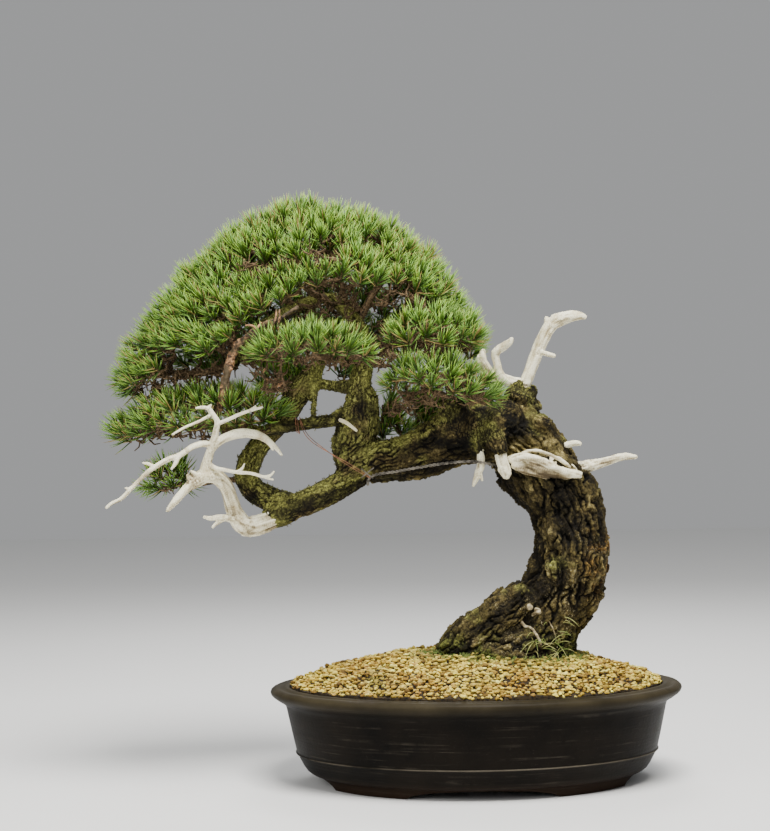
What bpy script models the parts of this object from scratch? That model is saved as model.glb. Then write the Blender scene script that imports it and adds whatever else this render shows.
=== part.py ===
"""A pine bonsai with deadwood, standing in a filled oval pot.

Blender works in metres. The tree's skeleton is written in millimetres, as (x, y, z, radius),
and is scaled by MM. X runs to the right, Y to the back and Z up, and the pot's feet stand at
POT_BASE. At the end the whole is moved so that it stands on the origin.
"""

import math
import random

import bmesh
import bpy
import numpy as np
from mathutils import Matrix, Vector, noise
from mathutils.bvhtree import BVHTree

MM = 0.001
GAP = 0.0005

# Pot; its length and width are those of the rim
POT_LENGTH = 0.490
POT_WIDTH = 0.346
POT_HEIGHT = 0.1145
POT_CENTRE_X = 0.1030
POT_BASE = 0.0070
POT_STEPS = 30
FLOOR_UNDERSIDE = 0.012
FLOOR_TOP = 0.021
ARCH_HEIGHT = 0.0105
ARCH_FRONT_WIDTH = 0.170
ARCH_END_WIDTH = 0.120
DRAIN_SPACING = 0.200
DRAIN_RADIUS = 0.012

# Soil: a mound of fine gravel that fills the pot
SOIL_EDGE_HEIGHT = 0.1140
SOIL_RISE = 0.038
SOIL_PLATEAU = 1.3
GRAIN_PITCH = 0.020
GRAIN_RELIEF = 0.0024

# Mesh over the drain holes, and the wire staple that holds it
MESH_SIDE = 0.036
MESH_THICKNESS = 0.001
MESH_CELLS = 2
MESH_BAR = 0.0035
STAPLE_RADIUS = 0.0008
STAPLE_LEG_SPACING = 0.019
POCKET_HEIGHT = 0.0042

# Bark
BARK_VOXEL = 0.0034
BARK_PLATE = 0.024
BARK_RELIEF = 0.0052
BARK_SWELL = 0.0036
BARK_TRIANGLES = 2450

# Deadwood
DEADWOOD_VOXEL = 0.0015
DEADWOOD_TRIANGLES_PER_METRE = 520

# Foliage
NEEDLE_LENGTH = 0.026
SHOOT_RADIUS = 0.0024
SHOOT_STRETCH = 2.4
SHOOT_BARE_FACES = 5
TWIG_TAPER = 0.85
NEEDLE_RADIUS = 0.0006
NEEDLE_CLEARANCE = 0.0009
SEED = 21

# Wires
GUY_WIRE_RADIUS = 0.0014
BRANCH_WIRE_RADIUS = 0.0010
WIRE_STEP = 0.0085
WIRE_CLEARANCE = 0.0005

# The living wood: the trunk, the roots that show, and the limbs
TRUNK = [
    (164, 0, 99, 50), (174, 0, 146, 43), (194, 0, 199, 43), (216, 0, 250, 48), (221, 0, 289, 47),
    (216, 0, 319, 46), (206, 0, 343, 47), (190, 0, 363, 48), (174, 0, 387, 46), (162, 0, 414, 40),
    (158, 0, 439, 33), (160, 0, 461, 23), (161, 0, 477, 14),
]
LIMBS = {
    "burl": [(193, -5, 228, 32), (157, -8, 209, 31), (125, -10, 189, 32), (97, -12, 167, 31),
             (78, -12, 140, 31), (72, -10, 108, 26)],
    "base_front": [(107, -25, 127, 35), (148, -22, 150, 40), (180, -12, 160, 34), (186, -8, 111, 31)],
    "root_back": [(184, 28, 167, 30), (193, 56, 145, 20), (200, 77, 121, 13)],
    "root_right": [(188, -5, 168, 18), (203, -14, 148, 12), (213, -22, 130, 7)],
    "root_back_left": [(147, 30, 156, 34), (111, 58, 131, 20), (89, 75, 109, 11)],
    "main_limb": [(162, 0, 412, 43), (140, -5, 419, 41), (111, -8, 418, 37), (83, -10, 411, 33),
                  (53, -10, 400, 31), (17, -8, 389, 27), (-13, -6, 388, 25), (-38, -5, 391, 21)],
    "riser": [(-41, -6, 372, 18), (-44, -6, 395, 20), (-37, -8, 418, 24), (-29, -8, 440, 23),
              (-27, -8, 459, 19), (-30, -6, 479, 14), (-24, -2, 507, 12), (-25, 0, 530, 11),
              (-32, 0, 551, 11), (-45, 0, 571, 11), (-63, 0, 582, 10), (-85, 2, 582, 9)],
    "lower_limb": [(-33, -6, 379, 19), (-49, -10, 363, 18), (-73, -15, 349, 17), (-97, -18, 339, 16),
                   (-117, -20, 331, 15), (-133, -20, 323, 14)],
    "left_riser": [(-112, -18, 337, 15), (-143, -12, 346, 16), (-165, -8, 363, 15), (-166, -4, 382, 15),
                   (-155, 0, 403, 14), (-139, 4, 421, 13), (-122, 8, 440, 14), (-112, 12, 460, 16),
                   (-102, 14, 479, 15), (-86, 18, 497, 12), (-75, 24, 520, 10), (-78, 32, 545, 8)],
    "cross_limb": [(-39, -12, 447, 11), (-65, -18, 436, 9), (-95, -22, 433, 9), (-121, -24, 429, 9),
                   (-150, -24, 426, 8), (-181, -22, 430, 7), (-214, -18, 432, 6)],
    "rung": [(-33, 4, 473, 8), (-59, 12, 478, 7), (-80, 14, 481, 7), (-100, 14, 478, 7)],
    "post": [(-87, -18, 433, 5), (-85, -2, 457, 5), (-88, 12, 481, 5)],
    "knob": [(74, -14, 404, 26), (79, -24, 430, 22), (79, -32, 449, 16), (72, -42, 461, 9)],
    "right_riser": [(126, 8, 422, 24), (113, 14, 449, 17), (99, 16, 477, 12), (80, 14, 505, 10),
                    (63, 10, 527, 8)],
    "front_knob": [(151, -18, 443, 21), (134, -34, 429, 18), (130, -40, 413, 15), (134, -42, 397, 10)],
    "front_stub": [(121, -26, 430, 12), (110, -34, 416, 8), (106, -38, 395, 6)],
    "arch_left": [(-81, 0, 582, 10), (-105, 0, 573, 9), (-131, -2, 558, 9), (-155, -4, 541, 9),
                  (-172, -6, 521, 9), (-183, -8, 499, 8)],
}

# The bare deadwood: each piece is a list of tapering branches that grow together
DEADWOOD = {
    "jin_left": [
        [(-124, -20, 327, 14), (-147, -26, 318, 13), (-164, -32, 314, 11), (-177, -38, 326, 10),
         (-182, -44, 346, 9), (-186, -50, 362, 8), (-197, -56, 373, 8), (-210, -62, 373, 8),
         (-224, -66, 364, 6), (-236, -70, 357, 5), (-246, -74, 348, 4), (-252, -78, 339, 2.5)],
        [(-173, -36, 321, 6), (-189, -44, 324, 4), (-202, -50, 325, 3), (-214, -54, 324, 2)],
        [(-191, -44, 323, 3), (-199, -48, 316, 2)],
        [(-155, -28, 312, 8), (-162, -28, 304, 3)],
        [(-212, -62, 376, 7), (-207, -66, 389, 5), (-201, -70, 405, 5), (-197, -73, 419, 4),
         (-195, -75, 432, 3.5), (-193, -75, 437, 3.5), (-199, -76, 445, 3), (-203, -77, 451, 2.5),
         (-209, -78, 452, 2), (-217, -80, 452, 2)],
        [(-201, -76, 444, 2), (-216, -82, 436, 2), (-231, -88, 429, 2), (-243, -92, 423, 2)],
        [(-192, -75, 434, 2.5), (-179, -76, 439, 2), (-165, -80, 446, 2), (-153, -82, 449, 2),
         (-140, -84, 451, 2)],
        [(-201, -70, 406, 5), (-189, -70, 416, 5.5), (-178, -68, 420, 6), (-164, -64, 422, 6),
         (-151, -60, 421, 5), (-139, -57, 416, 4.5), (-130, -55, 408, 3.5), (-122, -54, 400, 2)],
        [(-199, -70, 408, 4.5), (-217, -74, 409, 4.5), (-235, -78, 399, 4), (-251, -82, 394, 4),
         (-262, -85, 387, 3.5), (-271, -88, 382, 3.5), (-282, -90, 372, 3.5), (-293, -92, 360, 3),
         (-304, -94, 349, 3), (-311, -95, 344, 3), (-319, -96, 340, 2)],
        [(-241, -79, 398, 3), (-243, -80, 391, 2.5), (-244, -81, 384, 2)],
        [(-268, -87, 384, 2.5), (-273, -88, 387, 2), (-277, -90, 389, 2)],
        [(-206, -66, 391, 3), (-199, -68, 384, 2.5), (-185, -70, 381, 2), (-171, -70, 377, 2),
         (-156, -70, 376, 2), (-142, -70, 372, 2), (-130, -70, 369, 2)],
        [(-142, -70, 372, 2), (-130, -72, 377, 2)],
        [(-225, -66, 366, 6), (-228, -66, 372, 3)],
    ],
    "jin_tall": [
        [(165, 2, 468, 8), (171, 2, 480, 8), (177, 2, 496, 7.5), (184, 2, 514, 7), (191, 1, 532, 7),
         (197, 0, 545, 7), (204, -1, 553, 6), (215, -3, 557, 5), (231, -5, 558, 4), (242, -6, 555, 2)],
        [(199, 0, 549, 4), (196, 0, 558, 2)],
        [(187, -2, 514, 2.5), (196, -6, 512, 2), (205, -9, 510, 2)],
    ],
    "jin_hook": [
        [(163, -4, 477, 7), (152, -8, 482, 6.5), (143, -11, 486, 6), (137, -13, 494, 5),
         (134, -14, 505, 4.5), (132, -15, 516, 4.5), (137, -17, 522, 4.5), (144, -19, 526, 4),
         (151, -22, 529, 2.5)],
    ],
    "jin_stub": [
        [(138, -2, 475, 7), (125, -10, 489, 8), (116, -16, 502, 8), (117, -18, 513, 5),
         (119, -19, 519, 2.5)],
    ],
    "jin_right": [
        [(228, -3, 373, 9.5), (239, -4, 376, 8), (254, -6, 380, 6), (271, -8, 385, 5),
         (286, -10, 388, 4.5), (300, -12, 387, 2.5)],
    ],
    "jin_right_small": [
        [(205, -10, 400, 6), (217, -14, 403, 4), (226, -17, 405, 3.5), (233, -20, 404, 2.5)],
    ],
    "jin_front_right": [
        [(132, -42, 406, 8), (135, -44, 394, 8), (139, -48, 380, 7), (141, -52, 366, 4)],
    ],
    "jin_front_left": [
        [(106, -37, 400, 5), (105, -39, 391, 5), (103, -41, 379, 5), (101, -43, 369, 4),
         (97, -46, 359, 2)],
        [(102, -42, 375, 3.5), (105, -44, 368, 3), (107, -45, 363, 2)],
    ],
    "shari_plate": [
        [(147, -37, 390, 4), (169, -43, 384, 10), (192, -46, 378, 13), (213, -43, 373, 11),
         (231, -34, 370, 3)],
    ],
}

# The sprays of foliage: centre and half sizes of the cloud of shoots, the number of
# shoots, and the branch that carries them, from where it leaves the living wood
SPRAYS = {
    "spray_crown_top": (
        (-63, 0, 648), (84, 66, 34), 13, [(-45, 0, 571, 6), (-52, 4, 607, 5), (-60, 4, 635, 4)]),
    "spray_crown_front": (
        (-95, -92, 594), (68, 34, 30), 8, [(-66, 0, 582, 6), (-84, -45, 586, 5), (-93, -80, 591, 3.5)]),
    "spray_crown_left_upper": (
        (-159, -5, 616), (52, 60, 34), 9, [(-105, 0, 573, 6), (-132, -2, 596, 5), (-152, -4, 610, 4)]),
    "spray_crown_left_middle": (
        (-207, -10, 558), (50, 64, 30), 9, [(-172, -6, 521, 6), (-190, -8, 539, 5), (-203, -9, 553, 4)]),
    "spray_crown_left_lower": (
        (-255, -15, 498), (48, 58, 22), 8, [(-180, -8, 504, 6), (-215, -11, 496, 5), (-245, -14, 494, 4)]),
    "spray_crown_right_upper": (
        (11, 0, 625), (42, 62, 34), 7, [(-32, 0, 551, 6), (-12, 2, 588, 5), (6, 2, 612, 4)]),
    "spray_crown_right_middle": (
        (46, 8, 561), (46, 60, 30), 8, [(66, 10, 523, 5), (56, 10, 542, 4.5), (48, 9, 555, 4)]),
    "spray_front_centre": (
        (-90, -110, 516), (60, 30, 13), 8, [(-24, -2, 507, 6), (-48, -55, 508, 5), (-83, -100, 508, 3.5)]),
    "spray_right_middle": (
        (58, -72, 530), (42, 32, 18), 7, [(82, 14, 501, 6), (76, -30, 513, 5), (62, -62, 522, 3.5)]),
    "spray_right_lower": (
        (64, -90, 468), (58, 34, 14), 8, [(72, -42, 461, 6), (67, -62, 464, 5), (62, -86, 464, 4)]),
    "spray_left_lower": (
        (-229, -24, 438), (103, 38, 14), 10,
        [(-206, -18, 432, 5), (-233, -22, 432, 5), (-263, -26, 431, 4), (-296, -30, 428, 3)]),
    "spray_left_tuft": (
        (-258, -28, 364), (26, 18, 10), 3,
        [(-160, -8, 369, 5), (-200, -14, 367, 3.5), (-240, -24, 360, 2.5)]),
    "spray_back_left": (
        (-199, 84, 527), (74, 34, 32), 9, [(-100, 18, 483, 6), (-137, 62, 505, 5), (-184, 80, 519, 4)]),
    "spray_back_middle": (
        (-84, 96, 578), (78, 32, 42), 9, [(-76, 28, 533, 6), (-80, 62, 552, 5), (-83, 86, 568, 4)]),
    "spray_back_right": (
        (38, 82, 531), (58, 34, 36), 7, [(84, 14, 499, 6), (66, 46, 509, 5), (44, 74, 521, 4)]),
}

# The wires that hold the limbs: for each loop its centre and where it starts, then the run between
GUY_WIRE_LIMB_LOOP = ((-24, -6, 389), (-24, 28, 389))
GUY_WIRE_RUN = [(14, -40, 375), (47, -43, 382), (80, -46, 385), (99, -51, 387), (113, -56, 387)]
GUY_WIRE_STUB_LOOP = ((136, -46, 384), (129, -58, 385))
BRANCH_WIRE_CROSS_LOOP = ((-106, -23, 431), (-106, -10, 431))
BRANCH_WIRE_RUN = [(-86, -34, 410), (-69, -33, 397), (-58, -32, 386)]
BRANCH_WIRE_LOWER_LOOP = ((-52, -11, 362), (-54, -31, 372))


# Scene, materials and mesh helpers

def clear_scene():
    for old in list(bpy.data.objects):
        bpy.data.objects.remove(old, do_unlink=True)


def new_collection(name):
    collection = bpy.data.collections.new(name)
    bpy.context.scene.collection.children.link(collection)
    return collection


def material(name, colour, roughness, metallic=0.0):
    made = bpy.data.materials.new(name)
    made.use_nodes = True
    shader = made.node_tree.nodes["Principled BSDF"]
    shader.inputs["Base Color"].default_value = (*colour, 1.0)
    shader.inputs["Roughness"].default_value = roughness
    shader.inputs["Metallic"].default_value = metallic
    return made


def object_from(name, bm, collection):
    """Turns a bmesh into an object in the collection."""
    mesh = bpy.data.meshes.new(name)
    bm.to_mesh(mesh)
    bm.free()
    made = bpy.data.objects.new(name, mesh)
    collection.objects.link(made)
    return made


def remove_object(used):
    mesh = used.data
    bpy.data.objects.remove(used, do_unlink=True)
    bpy.data.meshes.remove(mesh)


def apply_modifiers(target):
    """Bakes an object's modifiers into its own mesh."""
    bpy.context.view_layer.update()
    graph = bpy.context.evaluated_depsgraph_get()
    baked = bpy.data.meshes.new_from_object(target.evaluated_get(graph))
    old = target.data
    target.modifiers.clear()
    target.data = baked
    baked.name = target.name
    bpy.data.meshes.remove(old)
    return target


def finish(target, skin, smooth_angle=None):
    """Gives a piece its material, and smooth shading where it is round."""
    target.data.materials.clear()
    target.data.materials.append(skin)
    if smooth_angle is not None:
        target.data.shade_smooth()
        target.data.set_sharp_from_angle(angle=math.radians(smooth_angle))
    return target


def tube(name, points, collection, sides_level=2, smooth=True, steps=3):
    """A closed round tube through (x, y, z, radius) points in metres."""
    data = bpy.data.curves.new(name, "CURVE")
    data.dimensions = "3D"
    data.bevel_depth = 1.0
    data.bevel_resolution = sides_level
    data.use_fill_caps = True
    data.resolution_u = steps
    spline = data.splines.new("BEZIER" if smooth else "POLY")
    knots = spline.bezier_points if smooth else spline.points
    knots.add(len(points) - 1)
    for knot, (x, y, z, radius) in zip(knots, points):
        knot.co = (x, y, z) if smooth else (x, y, z, 1.0)
        knot.radius = radius
        if smooth:
            knot.handle_left_type = "AUTO"
            knot.handle_right_type = "AUTO"
    curve = bpy.data.objects.new(name, data)
    collection.objects.link(curve)
    bpy.context.view_layer.update()
    graph = bpy.context.evaluated_depsgraph_get()
    mesh = bpy.data.meshes.new_from_object(curve.evaluated_get(graph))
    bm = bmesh.new()
    bm.from_mesh(mesh)
    bmesh.ops.remove_doubles(bm, verts=bm.verts, dist=0.00001)
    bmesh.ops.recalc_face_normals(bm, faces=bm.faces)
    bpy.data.objects.remove(curve, do_unlink=True)
    bpy.data.curves.remove(data)
    bpy.data.meshes.remove(mesh)
    return object_from(name, bm, collection)


def in_metres(points):
    return [tuple(value * MM for value in point) for point in points]


def joined(name, pieces, collection):
    """Puts the pieces' meshes in one object, still as separate shells."""
    bm = bmesh.new()
    for piece in pieces:
        bm.from_mesh(piece.data)
        remove_object(piece)
    return object_from(name, bm, collection)


def keep_largest_body(target):
    """Drops loose scraps, and keeps the body with the most faces."""
    bm = bmesh.new()
    bm.from_mesh(target.data)
    bm.verts.ensure_lookup_table()
    unseen = set(bm.verts)
    bodies = []
    while unseen:
        front = [unseen.pop()]
        body = set(front)
        while front:
            vertex = front.pop()
            for edge in vertex.link_edges:
                other = edge.other_vert(vertex)
                if other in unseen:
                    unseen.discard(other)
                    body.add(other)
                    front.append(other)
        bodies.append(body)
    largest = max(bodies, key=len)
    bmesh.ops.delete(bm, geom=[v for v in bm.verts if v not in largest], context="VERTS")
    bm.to_mesh(target.data)
    bm.free()
    return target


def cut(target, cutter, solver="EXACT"):
    """Cuts one shape from another, and keeps the main body."""
    boolean = target.modifiers.new("Cut", "BOOLEAN")
    boolean.operation = "DIFFERENCE"
    boolean.solver = solver
    boolean.object = cutter
    apply_modifiers(target)
    return keep_largest_body(target)


def fused(target, parts, solver="EXACT"):
    """Joins every object of the collection to the target in one union."""
    boolean = target.modifiers.new("Fuse", "BOOLEAN")
    boolean.operation = "UNION"
    boolean.solver = solver
    boolean.operand_type = "COLLECTION"
    boolean.collection = parts
    apply_modifiers(target)
    for part in list(parts.objects):
        remove_object(part)
    bpy.data.collections.remove(parts)
    return keep_largest_body(target)


def swollen(source, distance, collection):
    """A copy whose surface stands the distance outside the source's, used as a cutter."""
    copy = bpy.data.objects.new(source.name + "_swollen", source.data.copy())
    collection.objects.link(copy)
    normals = [vertex.normal.copy() for vertex in copy.data.vertices]
    for vertex, normal in zip(copy.data.vertices, normals):
        vertex.co += normal * distance
    hide(copy)
    return copy


def hide(cutter):
    cutter.hide_render = True
    cutter.display_type = "WIRE"


def thinned(target, triangles):
    """Lowers the number of triangles, keeping the form."""
    count = sum(len(face.vertices) - 2 for face in target.data.polygons)
    decimate = target.modifiers.new("Thin", "DECIMATE")
    decimate.ratio = min(1.0, triangles / count)
    decimate.use_collapse_triangulate = True
    return apply_modifiers(target)


def remeshed(target, voxel):
    """Melts overlapping shells into one skin."""
    remesh = target.modifiers.new("Remesh", "REMESH")
    remesh.mode = "VOXEL"
    remesh.voxel_size = voxel
    return apply_modifiers(target)


def tree_of(target):
    bm = bmesh.new()
    bm.from_mesh(target.data)
    found = BVHTree.FromBMesh(bm)
    bm.free()
    return found


# Pot and soil

def pot_profile():
    """Half of the pot's section, from the floor over the rim and down the outer side."""
    return [
        (0.0, FLOOR_TOP), (0.186, FLOOR_TOP), (0.206, 0.042), (0.2205, 0.105),
        (0.2225, POT_HEIGHT - 0.0005), (0.2275, POT_HEIGHT), (0.2325, POT_HEIGHT - 0.0016),
        (0.2385, POT_HEIGHT - 0.0012), (0.2435, POT_HEIGHT - 0.0030), (POT_LENGTH / 2, 0.1080),
        (0.2425, 0.1030), (0.2285, 0.0945), (0.2257, 0.0880), (0.2195, 0.0590), (0.2143, 0.0372),
        (0.2155, 0.0360), (0.2130, 0.0340), (0.2075, 0.0225), (0.1990, 0.0130), (0.1905, 0.0115),
        (0.1885, 0.0), (0.1720, 0.0), (0.1710, FLOOR_UNDERSIDE), (0.0, FLOOR_UNDERSIDE),
    ]


def turned_oval(name, profile, collection, steps=POT_STEPS):
    """Turns a half section round Z, then draws it in along Y to the pot's oval."""
    bm = bmesh.new()
    corners = [bm.verts.new((x, 0.0, z)) for x, z in profile]
    for first, second in zip(corners, corners[1:]):
        bm.edges.new((first, second))
    made = object_from(name, bm, collection)
    screw = made.modifiers.new("Turn", "SCREW")
    screw.steps = steps
    screw.render_steps = steps
    screw.use_merge_vertices = True
    screw.merge_threshold = 0.00001
    apply_modifiers(made)
    bm = bmesh.new()
    bm.from_mesh(made.data)
    bmesh.ops.remove_doubles(bm, verts=bm.verts, dist=0.000001)
    bmesh.ops.scale(bm, vec=(1.0, POT_WIDTH / POT_LENGTH, 1.0), verts=bm.verts)
    bmesh.ops.translate(bm, vec=(POT_CENTRE_X, 0.0, POT_BASE), verts=bm.verts)
    bm.to_mesh(made.data)
    bm.free()
    return made


def drain_places():
    return [(POT_CENTRE_X + side * DRAIN_SPACING / 2, name) for side, name in ((-1, "left"), (1, "right"))]


def cylinder(name, radius, depth, matrix, collection, segments=24):
    bm = bmesh.new()
    bmesh.ops.create_cone(
        bm, cap_ends=True, segments=segments, radius1=radius, radius2=radius, depth=depth, matrix=matrix)
    made = object_from(name, bm, collection)
    hide(made)
    return made


def box(name, size, centre, collection):
    bm = bmesh.new()
    bmesh.ops.create_cube(bm, size=1.0)
    bmesh.ops.scale(bm, vec=size, verts=bm.verts)
    bmesh.ops.translate(bm, vec=centre, verts=bm.verts)
    return object_from(name, bm, collection)


def make_pot(parts, cutters):
    """The pot, with an arch between each pair of feet and two drain holes."""
    pot = turned_oval("pot", pot_profile(), parts)
    arches = (("x", ARCH_FRONT_WIDTH, POT_WIDTH), ("y", ARCH_END_WIDTH, POT_LENGTH))
    for axis, width, depth in arches:
        turn = Matrix.Rotation(math.radians(90), 4, "X" if axis == "x" else "Y")
        stretch = Matrix.Diagonal((
            width / 2 if axis == "x" else 1.0, 1.0 if axis == "x" else width / 2, ARCH_HEIGHT, 1.0))
        place = Matrix.Translation((POT_CENTRE_X, 0.0, POT_BASE))
        arch = cylinder("arch_" + axis, 1.0, depth * 1.2, place @ stretch @ turn, cutters, segments=20)
        cut(pot, arch)
        remove_object(arch)
    for x, side in drain_places():
        hole = cylinder("drain_" + side, DRAIN_RADIUS, 0.05, Matrix.Translation((x, 0.0, POT_BASE + 0.015)), cutters)
        cut(pot, hole)
        remove_object(hole)
    return pot


def mound(x, y):
    """Height of the gravel's surface at a place."""
    across = (x - POT_CENTRE_X) / 0.221
    along = y / (0.221 * POT_WIDTH / POT_LENGTH)
    edge = min(1.0, across * across + along * along)
    return POT_BASE + SOIL_EDGE_HEIGHT + SOIL_RISE * (1.0 - edge ** SOIL_PLATEAU)


def make_soil(parts, cutters, roots):
    """The filled inside of the pot, topped with a mound of grains, with holes for what stands in it."""
    inner = GAP
    block = [
        (0.0, 0.190), (0.2225 - inner, 0.190), (0.2225 - inner, POT_HEIGHT - 0.0005),
        (0.2205 - inner, 0.105), (0.206 - inner, 0.042), (0.186 - inner, FLOOR_TOP + inner),
        (0.0, FLOOR_TOP + inner),
    ]
    soil = turned_oval("soil", block, parts)
    columns = math.ceil(POT_LENGTH * 1.04 / GRAIN_PITCH)
    rows = math.ceil(POT_WIDTH * 1.04 / GRAIN_PITCH)
    bm = bmesh.new()
    bmesh.ops.create_grid(bm, x_segments=columns, y_segments=rows, size=0.5)
    draw = random.Random(SEED)
    for vertex in bm.verts:
        row = round((vertex.co.y + 0.5) * rows)
        x = vertex.co.x * columns * GRAIN_PITCH + (row % 2 - 0.5) * GRAIN_PITCH / 2 + POT_CENTRE_X
        y = vertex.co.y * rows * GRAIN_PITCH
        vertex.co = (x, y, mound(x, y) + draw.uniform(-1.0, 1.0) * GRAIN_RELIEF)
    top = bmesh.ops.extrude_face_region(bm, geom=bm.faces[:])
    for vertex in (item for item in top["geom"] if isinstance(item, bmesh.types.BMVert)):
        vertex.co.z = 0.220
    bmesh.ops.recalc_face_normals(bm, faces=bm.faces)
    above = object_from("above_soil", bm, cutters)
    hide(above)
    cut(soil, above)
    remove_object(above)
    cut(soil, roots)
    for x, side in drain_places():
        size = (MESH_SIDE + 2 * GAP, MESH_SIDE + 2 * GAP, 2 * POCKET_HEIGHT)
        pocket = box("pocket_" + side, size, (x, 0.0, POT_BASE + FLOOR_TOP), cutters)
        hide(pocket)
        cut(soil, pocket)
        remove_object(pocket)
    return soil


def make_drain_mesh(x, side, parts, cutters):
    """A square of plastic mesh that keeps the soil from a drain hole."""
    floor = POT_BASE + FLOOR_TOP + GAP
    size = (MESH_SIDE, MESH_SIDE, MESH_THICKNESS)
    plate = box("drain_mesh_" + side, size, (x, 0.0, floor + MESH_THICKNESS / 2), parts)
    pitch = (MESH_SIDE - MESH_BAR) / MESH_CELLS
    for column in range(MESH_CELLS):
        for row in range(MESH_CELLS):
            centre = (
                x + (column - (MESH_CELLS - 1) / 2) * pitch, (row - (MESH_CELLS - 1) / 2) * pitch, floor)
            cell = box("cell", (pitch - MESH_BAR, pitch - MESH_BAR, 0.01), centre, cutters)
            hide(cell)
            cut(plate, cell)
            remove_object(cell)
    return plate


def make_staple(x, side, parts):
    """The bent wire that passes through the mesh and the hole and grips under the floor."""
    top = POT_BASE + FLOOR_TOP + GAP + MESH_THICKNESS + GAP + STAPLE_RADIUS
    under = POT_BASE + FLOOR_UNDERSIDE - GAP - STAPLE_RADIUS
    leg = STAPLE_LEG_SPACING / 2
    half = [
        (leg * 0.9, top), (leg, top - 0.001), (leg, under + 0.001), (leg * 1.1, under), (leg * 1.7, under)]
    path = [(-px, z) for px, z in reversed(half)] + half
    return tube(
        "mesh_staple_" + side, [(x + px, MESH_SIDE / 8, z, STAPLE_RADIUS) for px, z in path], parts,
        sides_level=0, smooth=False)


# Living wood and deadwood

def bark_height(place):
    """Plates of bark parted by fissures, over slow swellings; thin limbs have less of both."""
    thick = min(1.0, max(0.0, (place.x - 0.06) / 0.08))
    cell = Vector((place.x, place.y, place.z * 0.6)) / BARK_PLATE
    near, next_near = noise.voronoi(cell)[0][:2]
    plate = min(1.0, (next_near - near) * 2.2) - 0.8
    swell = noise.noise(place / 0.05)
    return (0.35 + 0.65 * thick) * (BARK_RELIEF * plate + BARK_SWELL * swell)


def make_trunk(parts):
    """The bark-covered wood: the trunk, its roots and its limbs, grown as one."""
    lines = [TRUNK, *LIMBS.values()]
    shells = [tube("limb", in_metres(points), parts, sides_level=4, steps=4) for points in lines]
    trunk = remeshed(joined("trunk", shells, parts), BARK_VOXEL)
    heights = [bark_height(vertex.co) for vertex in trunk.data.vertices]
    normals = [vertex.normal.copy() for vertex in trunk.data.vertices]
    for vertex, normal, height in zip(trunk.data.vertices, normals, heights):
        vertex.co += normal * height
    thinned(trunk, BARK_TRIANGLES)
    return keep_largest_body(trunk)


def length_of(points):
    places = [Vector(point[:3]) for point in points]
    return sum((b - a).length for a, b in zip(places, places[1:]))


def make_deadwood(name, branches, parts, neighbours):
    """One piece of bare wood, cut to its seat on the bark and clear of the pieces beside it."""
    lines = [in_metres(points) for points in branches]
    shells = [tube(name, points, parts, sides_level=4, steps=4) for points in lines]
    wood = remeshed(joined(name, shells, parts), DEADWOOD_VOXEL)
    total = sum(length_of(points) for points in lines)
    thinned(wood, 50 + DEADWOOD_TRIANGLES_PER_METRE * total)
    for neighbour in neighbours:
        cut(wood, neighbour)
    return wood


# Foliage

class Clearance:
    """Keeps the straight pieces already placed, so that a new one can be kept clear of them."""

    def __init__(self, solids):
        self.solids = solids
        self.starts = np.zeros((0, 3))
        self.ends = np.zeros((0, 3))
        self.radii = np.zeros(0)

    def add(self, start, end, radius):
        self.starts = np.vstack([self.starts, np.array(start)[None]])
        self.ends = np.vstack([self.ends, np.array(end)[None]])
        self.radii = np.append(self.radii, radius)

    def to_pieces(self, start, end):
        """The least distance from a segment to the placed pieces' surfaces."""
        if not len(self.radii):
            return 1.0
        first, second = np.array(end) - np.array(start), self.ends - self.starts
        apart = np.array(start) - self.starts
        a, b, c = first @ first, second @ first, (second * second).sum(1)
        d, e = apart @ first, (second * apart).sum(1)
        spread = np.maximum(a * c - b * b, 1e-14)
        along = np.clip((b * e - c * d) / spread, 0.0, 1.0)
        other = np.clip((b * along + e) / c, 0.0, 1.0)
        along = np.clip((b * other - d) / a, 0.0, 1.0)
        nearest = apart + along[:, None] * first - other[:, None] * second
        return float((np.sqrt((nearest * nearest).sum(1)) - self.radii).min())

    def to_solids(self, start, end, reach, steps=6):
        """The least distance from a segment to the wood and wires, up to a reach."""
        least = reach
        for step in range(steps + 1):
            place = Vector(start).lerp(Vector(end), step / steps)
            for solid in self.solids:
                least = min(least, solid.find_nearest(place, reach)[3] or reach)
        for solid in self.solids:
            way = Vector(end) - Vector(start)
            if solid.ray_cast(Vector(start), way.normalized(), way.length)[0]:
                return 0.0
        return least


def shoot_places(centre, half, count, draw):
    """Places spread evenly over the upper side of a cloud, by the golden angle."""
    places = []
    total = count * 2
    for index in range(total):
        height = 1.0 - 2.0 * (index + 0.5) / total
        if height < -0.12:
            break
        turn = index * math.pi * (3.0 - math.sqrt(5.0)) + 0.7
        ring = math.sqrt(1.0 - height * height)
        way = Vector((ring * math.cos(turn), ring * math.sin(turn), height))
        depth = draw.uniform(0.82, 1.04)
        places.append((Vector([c + h * w * depth for c, h, w in zip(centre, half, way)]), way))
    return places[:count]


def shoot_core():
    """A twenty-sided bead that stands on one face, stretched along Z."""
    bm = bmesh.new()
    bmesh.ops.create_icosphere(bm, subdivisions=1, radius=SHOOT_RADIUS)
    bm.faces.ensure_lookup_table()
    foot = bm.faces[0].normal.copy()
    bm.transform(foot.rotation_difference(Vector((0.0, 0.0, -1.0))).to_matrix().to_4x4())
    bmesh.ops.scale(bm, vec=(1.0, 1.0, SHOOT_STRETCH), verts=bm.verts)
    return bm


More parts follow.
